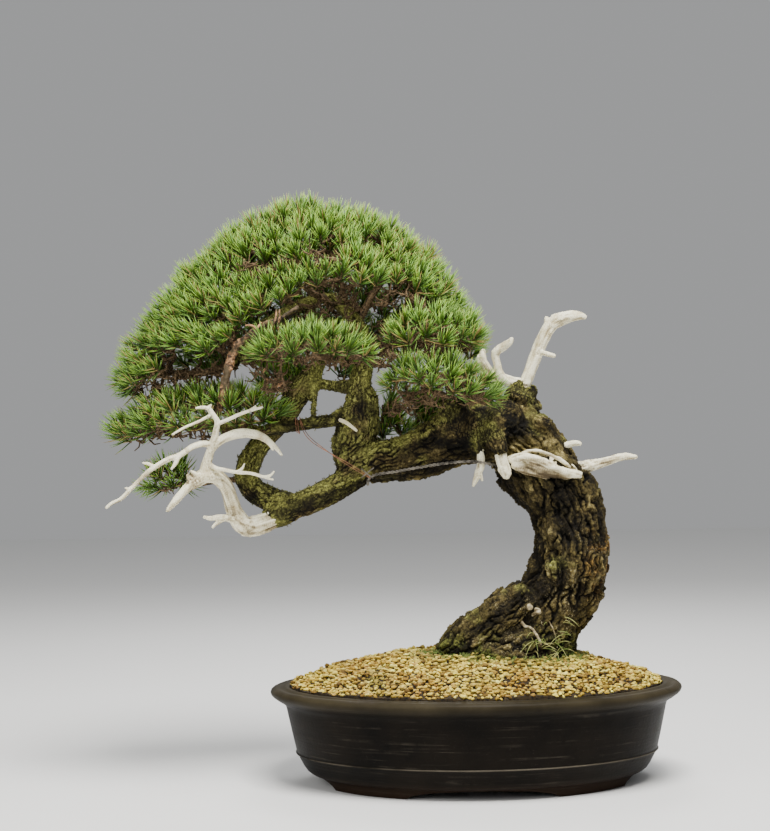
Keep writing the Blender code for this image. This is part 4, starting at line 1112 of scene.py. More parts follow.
# %% Clay material
# Fine level scratches, a browner rim and foot, dust, and a painted highlight along the band's edge
clay_finish, tree, shader = new_material("clay", 0.5, gloss=0.05)
place = add_node(tree, "ShaderNodeTexCoord")
layers = add_node(
    tree, "ShaderNodeMapping", {"Vector": place.outputs["Object"]}, Scale=(11.0, 11.0, 330.0))
lines = add_node(
    tree, "ShaderNodeTexNoise", {"Vector": layers.outputs["Vector"]},
    Scale=1.0, Detail=3.0, Distortion=0.35)
thin_lines = share_of(tree, lines.outputs["Fac"], 0.56, 0.72)
scratches = product(tree, thin_lines, patchy(tree, 34.0, 0.44, 0.66))
fired = patchy(tree, 14.0, 0.35, 0.70)
tone = blend(tree, fired, (0.0035, 0.0030, 0.0024), (0.0095, 0.0072, 0.0050))
level_of = add_node(tree, "ShaderNodeSeparateXYZ", {"Vector": place.outputs["Object"]}).outputs["Z"]
rim_tone = blend(tree, fired, (0.020, 0.016, 0.009), (0.048, 0.039, 0.022))
tone = blend(tree, share_of(tree, level_of, 0.097, 0.110), tone, rim_tone)
tone = blend(tree, share_of(tree, level_of, 0.020, 0.004), tone, (0.022, 0.013, 0.008))
tone = blend(tree, scratches, tone, (0.040, 0.034, 0.026))
dust = patchy(tree, 420.0, 0.62, 0.78)
tone = blend(tree, dust, tone, (0.020, 0.017, 0.013))
# A thin painted highlight along the band's edge, broken in places
off_band = add_node(tree, "ShaderNodeMath", {0: level_of}, operation="SUBTRACT")
off_band.inputs[1].default_value = BAND_HEIGHT
off_size = add_node(tree, "ShaderNodeMath", {0: off_band.outputs[0]}, operation="ABSOLUTE")
on_band = share_of(tree, off_size.outputs[0], 0.0010, 0.0003)
band_highlight = product(tree, on_band, patchy(tree, 8.0, 0.34, 0.60))
tone = blend(tree, band_highlight, tone, (0.100, 0.086, 0.064))
coloured(tree, shader, tone)
tree.links.new(share_of(tree, scratches, 0.0, 1.0, 0.42, 0.66), shader.inputs["Roughness"])
grain = use_group(tree, fine_relief, Scale=260.0, Strength=0.30, Depth=0.0008)
cut = add_node(
    tree, "ShaderNodeBump", {"Height": lines.outputs["Fac"], "Normal": grain.outputs["Normal"]},
    Strength=0.35, Distance=0.0012)
tree.links.new(cut.outputs["Normal"], shader.inputs["Normal"])
dress(pot_body, clay_finish, "clay", "pot")

# %% [markdown]
# ## Gravel
#
# The mound is covered with sifted gravel, grains of 4 to 6 mm in cream, sand, ochre and brown. A grain
# is a flattened ball of twenty faces with its corners pushed in and out. Five such grains are copied over
# the whole mound, each turned and stretched its own way, on top of the soil's own surface. Every grain
# is darker near its underside, where its neighbours shade it.

# %% Five grains
random.seed(11)
grains = []
for _ in range(5):
    bpy.ops.mesh.primitive_ico_sphere_add(subdivisions=1, radius=1.0, location=(0, 0, 0))
    grain = named("grain_model")
    bpy.ops.object.mode_set(mode="EDIT")
    bpy.ops.mesh.select_all(action="SELECT")
    bpy.ops.transform.resize(value=(1.0, 0.84, 0.68))
    bpy.ops.object.mode_set(mode="OBJECT")
    for vertex in grain.data.vertices:
        vertex.co *= 0.84 + 0.34 * random.random()
    grains.append(grain)
print("a grain has", len(grains[0].data.polygons), "faces")

# %% Grains over the mound
soil_tree = tree_of(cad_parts["soil"].data)


def ground(x, y):
    """The soil's height at a place, or nothing outside it."""
    hit = soil_tree.ray_cast(Vector((x, y, 0.4)), Vector((0, 0, -1)))[0]
    return hit.z if hit and hit.z > 0.10 else None


def near_bark(point):
    """Distance to the bark, negative inside the wood, where a ray straight up leaves it."""
    distance = bark_tree.find_nearest(point)[3]
    normal = bark_tree.ray_cast(point, Vector((0, 0, 1)))[1]
    return -distance if normal and normal.z > 0 else distance


def any_turn():
    """Any turn round the upright, and some lean."""
    turn = Matrix.Rotation(random.uniform(0, math.tau), 4, "Z")
    return turn @ Matrix.Rotation(random.gauss(0, 0.55), 4, "X")


# Distance between grains, and half the length and width of the ground inside the rim
PITCH = 0.0052
GROUND_HALF = (0.2205, 0.1552)
GRAIN_SIZES = (0.0022, 0.0026, 0.0028, 0.0030, 0.0034, 0.0038)
placed, tones, greens = [], [], []
for keep, lift in ((1.0, 0.0004), (0.24, 0.0032)):
    for row in range(-38, 39):
        for column in range(-52, 53):
            if random.random() > keep:
                continue
            x = POT_CENTRE.x + (column + 0.5 * (row % 2)) * PITCH + random.uniform(-0.3, 0.3) * PITCH
            y = POT_CENTRE.y + row * PITCH * 0.87 + random.uniform(-0.3, 0.3) * PITCH
            off_x, off_y = (x - POT_CENTRE.x) / GROUND_HALF[0], (y - POT_CENTRE.y) / GROUND_HALF[1]
            if off_x ** 2 + off_y ** 2 > 1.0:
                continue
            z = ground(x, y)
            if z is None:
                continue
            wood = near_bark(Vector((x, y, z + 0.002)))
            if wood < 0.001:
                continue
            size = random.choice(GRAIN_SIZES) * random.uniform(0.92, 1.08)
            matrix = Matrix.Translation((x, y, z + lift)) @ any_turn() @ Matrix.Diagonal(
                (size * random.uniform(0.85, 1.25), size * random.uniform(0.8, 1.1), size, 1.0))
            placed.append((random.randrange(len(grains)), matrix))
            tones.append(random.random())
            mossy = max(0.0, noise.noise(Vector((x, y, 0.0)) / 0.050) * 1.3)
            scattered_green = mossy * random.uniform(0.0, 0.7)
            green_at_foot = (0.85 - wood / 0.045) * random.uniform(0.3, 1.0)
            greens.append(max(scattered_green, green_at_foot, 0.0))
gravel = scattered("gravel_grains", grains, placed, tone=tones, green=greens)
corners = points_of(gravel.data)[:, 2].reshape(len(placed), -1)
lowest, highest = corners.min(axis=1, keepdims=True), corners.max(axis=1, keepdims=True)
set_number(gravel.data, "bright", ((corners - lowest) / (highest - lowest)).ravel())
print("grains", len(placed))

# %% Gravel material, and the dark grit between the grains, darkened further as painted shade
gravel_finish, tree, shader = new_material("gravel", 0.8, gloss=0.3)
tone = colour_ramp(tree, number(tree, "tone"), [
    (0.00, (0.085, 0.047, 0.006)), (0.12, (0.24, 0.145, 0.020)), (0.28, (0.52, 0.37, 0.050)),
    (0.48, (0.80, 0.66, 0.13)), (0.62, (0.44, 0.28, 0.075)), (0.74, (1.00, 0.95, 0.26)),
    (0.90, (0.60, 0.43, 0.042)), (1.00, (0.66, 0.60, 0.20))])
fleck = patchy(tree, 480.0, 0.48, 0.72)
tone = blend(tree, fleck, tone, (0.24, 0.145, 0.030))
patch = patchy(tree, 13.0, 0.46, 0.60)
tone = times(tree, tone, blend(tree, patch, (1.05, 1.05, 1.0), (0.74, 0.63, 0.56)))
tone = blend(tree, number(tree, "green"), tone, (0.13, 0.14, 0.03))
tone = times(tree, tone, colour_ramp(tree, number(tree, "bright"), [
    (0.10, (0.07, 0.055, 0.045)), (0.34, (0.42, 0.37, 0.31)), (0.62, (1.0, 1.0, 1.0)),
    (1.0, (1.15, 1.15, 1.12))]))
coloured(tree, shader, tone)
relief(tree, shader, 1000.0, 0.6, 0.0006)
choose(gravel)
bpy.ops.object.shade_smooth_by_angle(angle=math.radians(44))
dress(gravel, gravel_finish, "gravel")

# The soil under the grains is dark grit, painted darker still as the shade between the grains
grit_and_shade_finish, tree, shader = new_material("grit", 0.95)
fleck = patchy(tree, 260.0, 0.40, 0.62)
coloured(tree, shader, blend(tree, fleck, (0.008, 0.005, 0.002), (0.050, 0.031, 0.009)))
relief(tree, shader, 500.0, 0.8, 0.0012)
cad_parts["soil"].data.materials.clear()
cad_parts["soil"].data.materials.append(grit_and_shade_finish)
for grain in grains:
    bpy.data.objects.remove(grain, do_unlink=True)

# %% [markdown]
# ## Moss and grass
#
# Cushions of moss grow on the gravel round the trunk and along the upper side of the mossy limbs, and a
# few pale blades of grass hang over the foot. One sprig of moss is a ring of tiny spikes, copied about.

# %% One sprig of moss
random.seed(31)
bpy.ops.mesh.primitive_cone_add(
    vertices=3, radius1=0.09, radius2=0.0, depth=1.0, location=(0, 0, 0.5), end_fill_type="NOTHING")
spike = named("spike_model")
bpy.ops.object.transform_apply(location=True)
set_number(spike.data, "along", [vertex.co.z for vertex in spike.data.vertices])
fan = [(0, Matrix.Rotation(index * 2.4, 4, "Z") @ Matrix.Rotation(random.uniform(0.15, 1.0), 4, "X")
        @ Matrix.Scale(random.uniform(0.7, 1.1), 4)) for index in range(8)]
sprig = scattered("sprig_model", [spike], fan)

# %% Moss on the limbs and round the foot
spots = np.concatenate([points_of(bark.data), points_of(bark_limbs.data)])
ways = np.concatenate([normals_of(bark.data), normals_of(bark_limbs.data)])
stored = []
for piece in (bark, bark_limbs):
    for name in ("moss", "wet_moss"):
        values = np.empty(len(piece.data.vertices), np.float32)
        piece.data.attributes[name].data.foreach_get("value", values)
        stored.append(values)
dry, wet = np.concatenate(stored[0::2]), np.concatenate(stored[1::2])
SPRIGS_ON_WOOD, SPRIGS_IN_ALL = 2300, 3500
placed, tones = [], []
pick = np.random.default_rng(3).permutation(len(spots))
for index in pick.tolist():
    if len(placed) == SPRIGS_ON_WOOD:
        break
    chance = max(dry[index] * 0.8, wet[index])
    if random.random() > chance ** 2 or spots[index][2] < 0.125:
        continue
    way = (Vector(ways[index]) + Vector((0, 0, 0.5))).normalized()
    size = random.uniform(0.0018, 0.0038)
    placed.append((0, Matrix.Translation(spots[index]) @ way.to_track_quat("Z", "Y").to_matrix().to_4x4()
                   @ Matrix.Scale(size, 4)))
    tones.append(random.uniform(0.0, 0.45) + 0.5 * float(wet[index]))
for _ in range(14000):
    if len(placed) == SPRIGS_IN_ALL:
        break
    x = random.uniform(TREE.x + 0.0, TREE.x + 0.28)
    y = random.uniform(TREE.y - 0.12, TREE.y + 0.12)
    z = ground(x, y)
    if z is None:
        continue
    wood = near_bark(Vector((x, y, z + 0.002)))
    if wood < 0.0 or random.random() > max(0.0, 1.0 - wood / 0.030) ** 1.5:
        continue
    turn = any_turn()
    size = random.uniform(0.003, 0.0052)
    placed.append((0, Matrix.Translation((x, y, z + 0.0010)) @ turn @ Matrix.Scale(size, 4)))
    tones.append(random.uniform(0.5, 1.0))
moss_cushions = scattered("moss_cushions", [sprig], placed, tone=tones)
moss_finish, tree, shader = new_material("moss", 0.9)
tone = colour_ramp(tree, number(tree, "tone"), [
    (0.0, (0.22, 0.19, 0.038)), (0.45, (0.15, 0.165, 0.028)), (0.75, (0.095, 0.160, 0.022)),
    (1.0, (0.180, 0.310, 0.048))])
tip = patchy(tree, 500.0, 0.40, 0.60)
tone = blend(tree, tip, tone, (0.060, 0.055, 0.012))
coloured(tree, shader, tone)
relief(tree, shader, 1200.0, 0.3, 0.0003)
dress(moss_cushions, moss_finish, "needles")
for model in (spike, sprig):
    bpy.data.objects.remove(model, do_unlink=True)

# %% Grass
random.seed(37)
blades = []
for _ in range(34):
    start = Vector((random.uniform(170, 212), -62, random.uniform(158, 198)))
    lean = Vector((random.uniform(-0.7, 0.9), random.uniform(-0.8, -0.3), random.uniform(-0.1, 0.9)))
    lean.normalize()
    long = random.uniform(12, 30)
    sag = Vector((0, 0, -1)) * long * random.uniform(0.25, 0.6)
    root = TREE + start * MM
    near, normal, _, _ = bark_tree.find_nearest(root)
    root = near + normal * 0.0005
    blade = [root + (lean * long * part + sag * part * part) * MM for part in (0.0, 0.3, 0.65, 1.0)]
    blades.append([(*point, radius * MM) for point, radius in zip(blade, (0.40, 0.48, 0.38, 0.12))])
grass = tubes("grass", blades, sides=0)
grass_finish, tree, shader = new_material("grass", 0.6)
dry_part = patchy(tree, 90.0, 0.40, 0.60)
coloured(tree, shader, blend(tree, dry_part, (0.13, 0.20, 0.03), (0.42, 0.40, 0.15)))
relief(tree, shader, 900.0, 0.2, 0.0003)
dress(grass, grass_finish, "needles")

# %% [markdown]
# ## Needles
#
# Needles of this pine come in pairs from a short shoot and are about 26 mm long. One needle is a
# three-sided spike, split once along its length and bowed a little. Pairs of it round a shoot make a
# tuft, and a few different tufts are copied over every spray.

# %% One needle
NEEDLE = 0.026
bpy.ops.mesh.primitive_cone_add(
    vertices=3, radius1=0.00080, radius2=0.0, depth=NEEDLE, location=(0, 0, NEEDLE / 2),
    end_fill_type="NOTHING")
needle = named("needle_model")
bpy.ops.object.transform_apply(location=True)
bpy.ops.object.mode_set(mode="EDIT")
bpy.ops.mesh.select_all(action="SELECT")
bpy.ops.mesh.bisect(plane_co=(0, 0, 0.014), plane_no=(0, 0, 1))
bpy.ops.object.mode_set(mode="OBJECT")
for vertex in needle.data.vertices:
    if 0.010 < vertex.co.z < 0.020:
        vertex.co.x *= 1.80
        vertex.co.y *= 1.80
        vertex.co.y -= 0.0007
set_number(needle.data, "along", [vertex.co.z / NEEDLE for vertex in needle.data.vertices])
print("a needle has", len(needle.data.polygons), "faces")

# %% Tufts of needles
# Turned by this angle from one to the next, needles never stand in rows
GOLDEN_ANGLE = 2.39996
random.seed(23)


def make_tuft(pairs, spread):
    """Pairs of needles round a shoot that stands on the origin and grows up Z."""
    stands = []
    for index in range(pairs):
        rise = (index + 0.5) / pairs
        turn = index * GOLDEN_ANGLE + random.uniform(-0.25, 0.25)
        lean = math.radians(60.0 * (1.0 - rise) ** 0.85 * spread + 6.0 + random.uniform(-11.0, 11.0))
        root = Matrix.Translation((0.0, 0.0, -0.006 + 0.013 * rise))
        for twin in (-1.0, 1.0):
            turned = Matrix.Rotation(turn + twin * 0.17, 4, "Z")
            turned = turned @ Matrix.Rotation(lean + twin * 0.05, 4, "X")
            length = random.uniform(0.84, 1.04) * (0.92 + 0.10 * math.sin(rise * math.pi))
            stands.append((0, root @ turned @ Matrix.Diagonal((1.0, 1.0, length, 1.0))))
    return stands


tufts = []
for pairs, spread in ((14, 1.0), (16, 0.85), (13, 1.08), (15, 0.92), (12, 0.75)):
    stands = make_tuft(pairs, spread)
    tuft = scattered("tuft_model", [needle], stands)
    tint = np.repeat([random.random() for _ in stands], len(needle.data.vertices))
    set_number(tuft.data, "tint", tint)
    tufts.append(tuft)
print("a tuft has", len(tufts[0].data.polygons), "faces")

# %% Needle material
needle_finish, tree, shader = new_material("needles", 0.45, gloss=0.24)
# Each needle runs from dark at its base, painted shade deep in the tuft, to its own light green at the tip
fresh = colour_ramp(tree, number(tree, "along"), [
    (0.0, (0.006, 0.009, 0.001)), (0.34, (0.060, 0.120, 0.006)), (0.74, (0.265, 0.450, 0.025)),
    (1.0, (0.660, 0.790, 0.160))])
cool = colour_ramp(tree, number(tree, "along"), [
    (0.0, (0.005, 0.010, 0.002)), (0.36, (0.050, 0.136, 0.014)), (1.0, (0.300, 0.560, 0.150))])
tone = blend(tree, number(tree, "tint"), fresh, cool)
# Tufts deep in the crown and in the lower sprays get painted shade, and every tuft a random darkening with
# age
age_and_depth_shade = share_of(tree, number(tree, "tone"), 0.3, 1.6, 0.0, 0.95)
tone = blend(tree, age_and_depth_shade, tone, (0.040, 0.078, 0.010))
straw = share_of(tree, number(tree, "tint"), 0.930, 0.950)
tone = blend(tree, straw, tone, (0.300, 0.215, 0.070))
coloured(tree, shader, tone)

# %% [markdown]
# ## Crown and sprays
#
# The crown is one dome: a rounded shoulder on the right, a straighter slope on the left, open below at
# the front, where the branches show. Its tufts stand on the dome's surface with an even distance between
# neighbours, and each belongs to the spray whose middle is nearest. The lower sprays are flattened
# clouds. A twig runs from each tuft to the nearest wood nearer to the stem. Where the needles are worn
# off, thickets of short crooked twigs fill the space. All lengths here are in millimetres on the tree.

# %% Stems of the sprays, as points with a radius, and the middle of each spray
STEMS = {
    "crown_top": ((-63, 0, 646), [(-45, 0, 571, 6), (-52, 4, 607, 5), (-60, 4, 635, 4)]),
    "crown_front": ((-95, -84, 596), [(-66, 0, 582, 6), (-84, -45, 586, 5), (-93, -80, 591, 3.5)]),
    "crown_left_upper": ((-156, -5, 608), [(-105, 0, 573, 6), (-132, -2, 596, 5), (-152, -4, 610, 4)]),
    "crown_left_middle": ((-206, -10, 554), [(-172, -6, 521, 6), (-190, -8, 539, 5), (-203, -9, 553, 4)]),
    "crown_left_lower": ((-255, -15, 500), [(-180, -8, 504, 6), (-215, -11, 496, 5), (-245, -14, 494, 4)]),
    "crown_right_upper": ((11, 0, 622), [(-32, 0, 551, 6), (-12, 2, 588, 5), (6, 2, 612, 4)]),
    "crown_right_middle": ((50, 4, 562), [(66, 10, 523, 5), (56, 10, 542, 4.5), (48, 9, 555, 4)]),
    "back_left": ((-199, 84, 527), [(-100, 18, 483, 6), (-137, 62, 505, 5), (-184, 80, 519, 4)]),
    "back_middle": ((-84, 90, 578), [(-76, 28, 533, 6), (-80, 62, 552, 5), (-83, 86, 568, 4)]),
    "back_right": ((38, 80, 531), [(84, 14, 499, 6), (66, 46, 509, 5), (44, 74, 521, 4)]),
    "front_centre": ((-84, -108, 508), [(-24, -2, 507, 6), (-48, -55, 508, 5), (-83, -100, 508, 3.5)]),
    "right_middle": ((58, -70, 522), [(82, 14, 501, 6), (76, -30, 513, 5), (62, -62, 522, 3.5)]),
    "right_lower": ((66, -88, 466), [(72, -42, 461, 6), (67, -62, 464, 5), (62, -86, 464, 4)]),
    "left_lower": (
        (-222, -24, 431), [(-206, -18, 432, 5), (-230, -22, 432, 5), (-256, -26, 431, 4),
        (-284, -30, 428, 3)]),
    "left_tuft": ((-256, -28, 368), [(-160, -8, 369, 5), (-200, -14, 367, 3.5), (-240, -24, 360, 2.5)]),
}
CROWN_SPRAYS = [name for name in STEMS if name.startswith(("crown", "back"))]
# For each lower spray: half sizes, how much its right end rises, how far round to its underside
CLOUDS = {
    "front_centre": ((64, 34, 23), 0.0, -0.05),
    "right_middle": ((49, 36, 30), -0.05, -0.15),
    "right_lower": ((60, 38, 28), -0.14, -0.15),
    "left_lower": ((96, 42, 36), 0.12, -0.12),
    "left_tuft": ((25, 18, 15), 0.1, -0.60),
}
DOME_MIDDLE = np.array([-101.0, 0.0, 478.0])
DOME_HALF = np.array([206.0, 106.0, 209.0])
FRONT_EDGE = np.array([
    (-314, 474), (-270, 490), (-212, 507), (-166, 545), (-131, 563), (-96, 586), (-49, 595), (-3, 590),
    (20, 578), (54, 575), (88, 547), (119, 510)], float)
BACK_EDGE = np.array([(-336, 486), (-228, 496), (-116, 520), (70, 518), (118, 503)], float)
# Bare places in the dome's front: middle and half sizes
BARE = [((-65, 624), (30, 14)), ((-130, 615), (34, 11)), ((24, 577), (34, 14)), ((-12, 640), (12, 7)),
        ((-190, 548), (20, 9)), ((-245, 510), (34, 12)), ((-96, 655), (18, 7))]


# %% Even scatter over the dome and over a cloud
def even_scatter(candidates, spacing):
    """Keeps the candidates that stand further than the spacing from all kept before."""
    kept = np.empty((len(candidates), 3))
    chosen = []
    for index, candidate in enumerate(candidates):
        if not chosen or ((kept[:len(chosen)] - candidate) ** 2).sum(1).min() > spacing ** 2:
            kept[len(chosen)] = candidate
            chosen.append(index)
    return np.array(chosen)


def directions(count, seed):
    """Random directions, the same each time for one seed."""
    ways = np.random.default_rng(seed).normal(size=(count, 3))
    return ways / np.linalg.norm(ways, axis=1, keepdims=True)


def dome_spots(spacing, shrink, seed):
    """Places on the dome, shrunk towards its middle, and their outward ways."""
    ways = directions(14000, seed)
    ways = ways[ways[:, 2] > -0.10]
    sharp = np.where(ways[:, 0] < 0.0, 1.46, 2.05)
    near, far = np.zeros(len(ways)), np.full(len(ways), 500.0)
    for _ in range(24):
        middle = (near + far) / 2.0
        parts = np.abs(ways * middle[:, None] / DOME_HALF)
        outside = parts[:, 0] ** sharp + parts[:, 1] ** 2 + parts[:, 2] ** sharp > 1.0
        near, far = np.where(outside, near, middle), np.where(outside, middle, far)
    spots = DOME_MIDDLE + ways * middle[:, None] * shrink
    across = ways / DOME_HALF
    across /= np.linalg.norm(across, axis=1, keepdims=True)
    front = spots[:, 1] < -20.0
    edge = np.where(front, np.interp(spots[:, 0], *FRONT_EDGE.T), np.interp(spots[:, 0], *BACK_EDGE.T))
    keep = spots[:, 2] > edge + 2.0
    for (x, z), (wide, high) in BARE:
        inside = ((spots[:, 0] - x) / wide) ** 2 + ((spots[:, 2] - z) / high) ** 2 < 1.0
        keep &= ~(inside & (spots[:, 1] < 0.0))
    spots, across = spots[keep], across[keep]
    chosen = even_scatter(spots, spacing)
    return spots[chosen], across[chosen]


def cloud_spots(middle, half, slope, underside, spacing, seed):
    """Places on the upper side of a flattened cloud, and their outward ways."""
    ways = directions(3000, seed)
    ways = ways[ways[:, 2] > underside]
    spots = np.array(middle) + ways * np.array(half)
    spots[:, 2] += slope * (spots[:, 0] - middle[0])
    chosen = even_scatter(spots, spacing)
    return spots[chosen], ways[chosen]


# %% Tufts for every spray
# The dome has three layers of tufts, each further in than the last. The innermost is at the back only.
tuft_spots = {name: [] for name in STEMS}
middles = np.array([STEMS[name][0] for name in CROWN_SPRAYS], float)
inner = set()
for spacing, shrink, seed in ((13.2, 1.0, 41), (18.0, 0.88, 43), (19.0, 0.70, 47)):
    spots, ways = dome_spots(spacing, shrink, seed)
    if shrink < 0.8:
        spots, ways = spots[spots[:, 1] > 14.0], ways[spots[:, 1] > 14.0]
    swell = 1.0 + 0.035 * noise_at(spots, 55.0, 3.0)
    swell += 0.012 * np.random.default_rng(seed).normal(size=len(spots))
    spots = DOME_MIDDLE + (spots - DOME_MIDDLE) * swell[:, None]
    for spot, way in zip(spots, ways):
        nearest = int((((middles - spot) * (1.0, 0.8, 1.0)) ** 2).sum(1).argmin())
        tuft_spots[CROWN_SPRAYS[nearest]].append((Vector(spot), Vector(way)))
        if shrink < 1.0:
            inner.add(tuple(spot))
for number_of, (name, (half, slope, underside)) in enumerate(CLOUDS.items()):
    for spot, way in zip(*cloud_spots(STEMS[name][0], half, slope, underside, 14.5, 60 + number_of)):
        tuft_spots[name].append((Vector(spot), Vector(way)))
# Tufts that reach out at the dome's left end
for spot in ((-300, -26, 478), (-304, -6, 473), (-294, -46, 482), (-308, -14, 486), (-292, 12, 470)):
    tuft_spots["crown_left_lower"].append((Vector(spot), Vector((-0.9, -0.1, -0.6))))
# Tufts deep behind the open places, dark with painted shade
BEHIND = [
    ("back_right", (-4, 14, 416), (62, 48, 462), 34), ("back_left", (-152, 26, 474), (-92, 64, 512), 20),
    ("back_middle", (-60, 40, 490), (-10, 80, 520), 8)]
draw = np.random.default_rng(53)
for name, low, high, count in BEHIND:
    for spot in draw.uniform(low, high, (count, 3)):
        tuft_spots[name].append((Vector(spot), Vector((0.0, -0.2, 0.1))))
        inner.add(tuple(spot))
print("tufts", {name: len(spots) for name, spots in tuft_spots.items()})
print("tufts in all", sum(len(spots) for spots in tuft_spots.values()))

# %% Thickets of bare twigs: lowest and highest corner, and how many
THICKETS = {
    "crown_front": [((-88, -95, 610), (-43, -70, 636), 14), ((-163, -88, 603), (-98, -60, 625), 16),
                    ((-107, -50, 552), (-28, 5, 600), 36)],
    "crown_right_upper": [((-3, -75, 565), (51, -35, 590), 26)],
    "crown_left_middle": [((-216, -55, 497), (-146, 0, 551), 40)],
    "crown_left_lower": [((-293, -50, 470), (-188, 0, 500), 46)],
    "right_middle": [((-16, -60, 512), (31, -20, 552), 26), ((13, -90, 510), (54, -50, 530), 16)],
    "right_lower": [((0, -50, 440), (65, -15, 460), 20), ((20, -110, 452), (110, -60, 464), 20)],
    "front_centre": [((-151, -90, 466), (-110, -45, 494), 16), ((-140, -118, 496), (12, -60, 510), 42)],
    "left_lower": [((-310, -45, 414), (-140, -5, 430), 50)],
    "left_tuft": [((-270, -35, 358), (-235, -20, 368), 5)],
}
# Tufts lean away from this place deep in the crown
HEART = Vector((-80, 10, 470))


def wobble(amount):
    """A small random step in any direction."""
    return Vector((random.gauss(0, amount), random.gauss(0, amount), random.gauss(0, amount)))


def spurs(start, end, way, count):
    """Short crooked side twigs between two points."""
    found = []
    for _ in range(count):
        root = start.lerp(end, random.uniform(0.15, 0.95))
        side = wobble(1.0).normalized()
        crook = root + side * random.uniform(4.0, 8.0)
        tip = crook + (side + way * 0.8).normalized() * random.uniform(4.0, 9.0)
        found.append([(*root, 1.15), (*crook, 0.95), (*tip, 0.55)])
    return found


def grow(name):
    """The tufts of a spray as placed copies, and the lines of its twigs."""
    random.seed(name)
    middle, stem = STEMS[name]
    line = [Vector(point[:3]) for point in stem]
    carriers = [low.lerp(high, share) for low, high in zip(line, line[1:]) for share in (0.25, 0.6, 1.0)]
    twigs = [[(*point[:3], point[3] * 0.85) for point in stem]]
    copies, tones = [], []
    hub = line[-1]
    for spot, way in sorted(tuft_spots[name], key=lambda item: (item[0] - hub).length):
        carrier = min(carriers, key=lambda c: (c - spot).length + 0.25 * (c - hub).length)
        run = spot - carrier
        outward_way = (spot - HEART).normalized()
        axis = (way * 0.62 + outward_way * 0.38 + Vector((0, 0, 0.62)) + wobble(0.17)).normalized()
        foot = spot - axis * 6.0
        bend = carrier.lerp(foot, 0.55) - axis * 0.2 * run.length + Vector((0, 0, 4.0)) + wobble(1.5)
        twigs.append([(*carrier, 2.5), (*bend, 2.0), (*foot, 1.6), (*(spot + axis * 6.0), 0.9)])
        twigs += spurs(bend, foot, axis, 1)
        carriers.append(carrier.lerp(foot, 0.7))
        upright = axis.to_track_quat("Z", "Y").to_matrix().to_4x4()
        turn = upright @ Matrix.Rotation(random.uniform(0, math.tau), 4, "Z")
        place = Matrix.Translation(TREE + spot * MM) @ turn @ Matrix.Scale(random.uniform(0.78, 1.08), 4)
        copies.append((random.randrange(len(tufts)), place))
        # Inner tufts and those of the lower sprays get painted shade, and all a random darkening
        deep = 0.75 if tuple(spot) in inner else 0.30 if name in CLOUDS else 0.0
        tones.append(deep + random.random() * 0.85)
    for low, high, count in THICKETS.get(name, []):
        for _ in range(count):
            end = Vector([random.uniform(*reach) for reach in zip(low, high)])
            carrier = min(carriers, key=lambda c: (c - end).length)
            bend = carrier.lerp(end, 0.5) + wobble((end - carrier).length * 0.16)
            twigs.append([(*carrier, 1.8), (*bend, 1.4), (*end, 0.9)])
            twigs += spurs(bend, end, Vector((0, 0, 1)), 3)
            carriers.append(end)
    return copies, tones, [on_tree(twig) for twig in twigs]


# %% Twig material
twig_finish, tree, shader = new_material("twig", 0.85, gloss=0.25)
wide = patchy(tree, 90.0, 0.40, 0.62)
small = patchy(tree, 420.0, 0.42, 0.60)
tone = blend(tree, wide, (0.016, 0.012, 0.005), (0.070, 0.046, 0.020))
tone = blend(tree, small, tone, (0.170, 0.108, 0.056))
coloured(tree, shader, tone)
relief(tree, shader, 900.0, 0.6, 0.0006)

# %% Needles and twigs of every spray
for name in STEMS:
    copies, tones, twigs = grow(name)
    needles_there = scattered("needles_" + name, tufts, copies, tone=tones)
    dress(needles_there, needle_finish, "needles", "spray_" + name)
    dress(tubes("twigs_" + name, twigs, sides=0, smooth=False), twig_finish, "bark")
for model in [needle, *tufts]:
    bpy.data.objects.remove(model, do_unlink=True)

# %% [markdown]
# ### The branch that sheds its bark
#
# One branch inside the crown is orange, because its bark comes off in thin scales, and strips of it hang
# loose at its tip. It is drawn as tubes, grown together in a fine skin, and roughened in steps, because
# scales have sharp edges.

# %% The flaking branch, its dead twigs and the loose strips
dead_twigs = [
    on_tree([(-116, -68, 482, 1.2), (-128 - 2 * index, -70, 480 + 3 * (index - 3), 1.0),
             (-136 - 5 * (index % 3), -72, 479 + 7 * (index - 3), 0.6)])
    for index in range(7)]
flaking = tubes("flaking_branch", dead_twigs + [
    on_tree([(-203, -20, 436, 4.0), (-194, -46, 452, 4.4), (-186, -64, 476, 5.0), (-180, -68, 500, 5.4),
             (-171, -76, 522, 4.4), (-155, -92, 534, 3.0), (-140, -104, 544, 2.8),
             (-119, -108, 551, 2.7),
             (-97, -102, 565, 2.2)]),
    on_tree([(-170, -72, 520, 3.0), (-176, -66, 532, 2.4), (-186, -56, 541, 1.8)])], sides=2)
fine_skin(flaking, 0.0010)
points = points_of(flaking.data)
rough = noise_at(points, 0.0060, 5.0)
rough = 0.0012 * np.sign(rough) * np.abs(rough) ** 0.4
rough += 0.0007 * noise_at(points, 0.0025, 8.0)
set_points(flaking.data, points + normals_of(flaking.data) * rough[:, None])
flaking.data.shade_smooth()
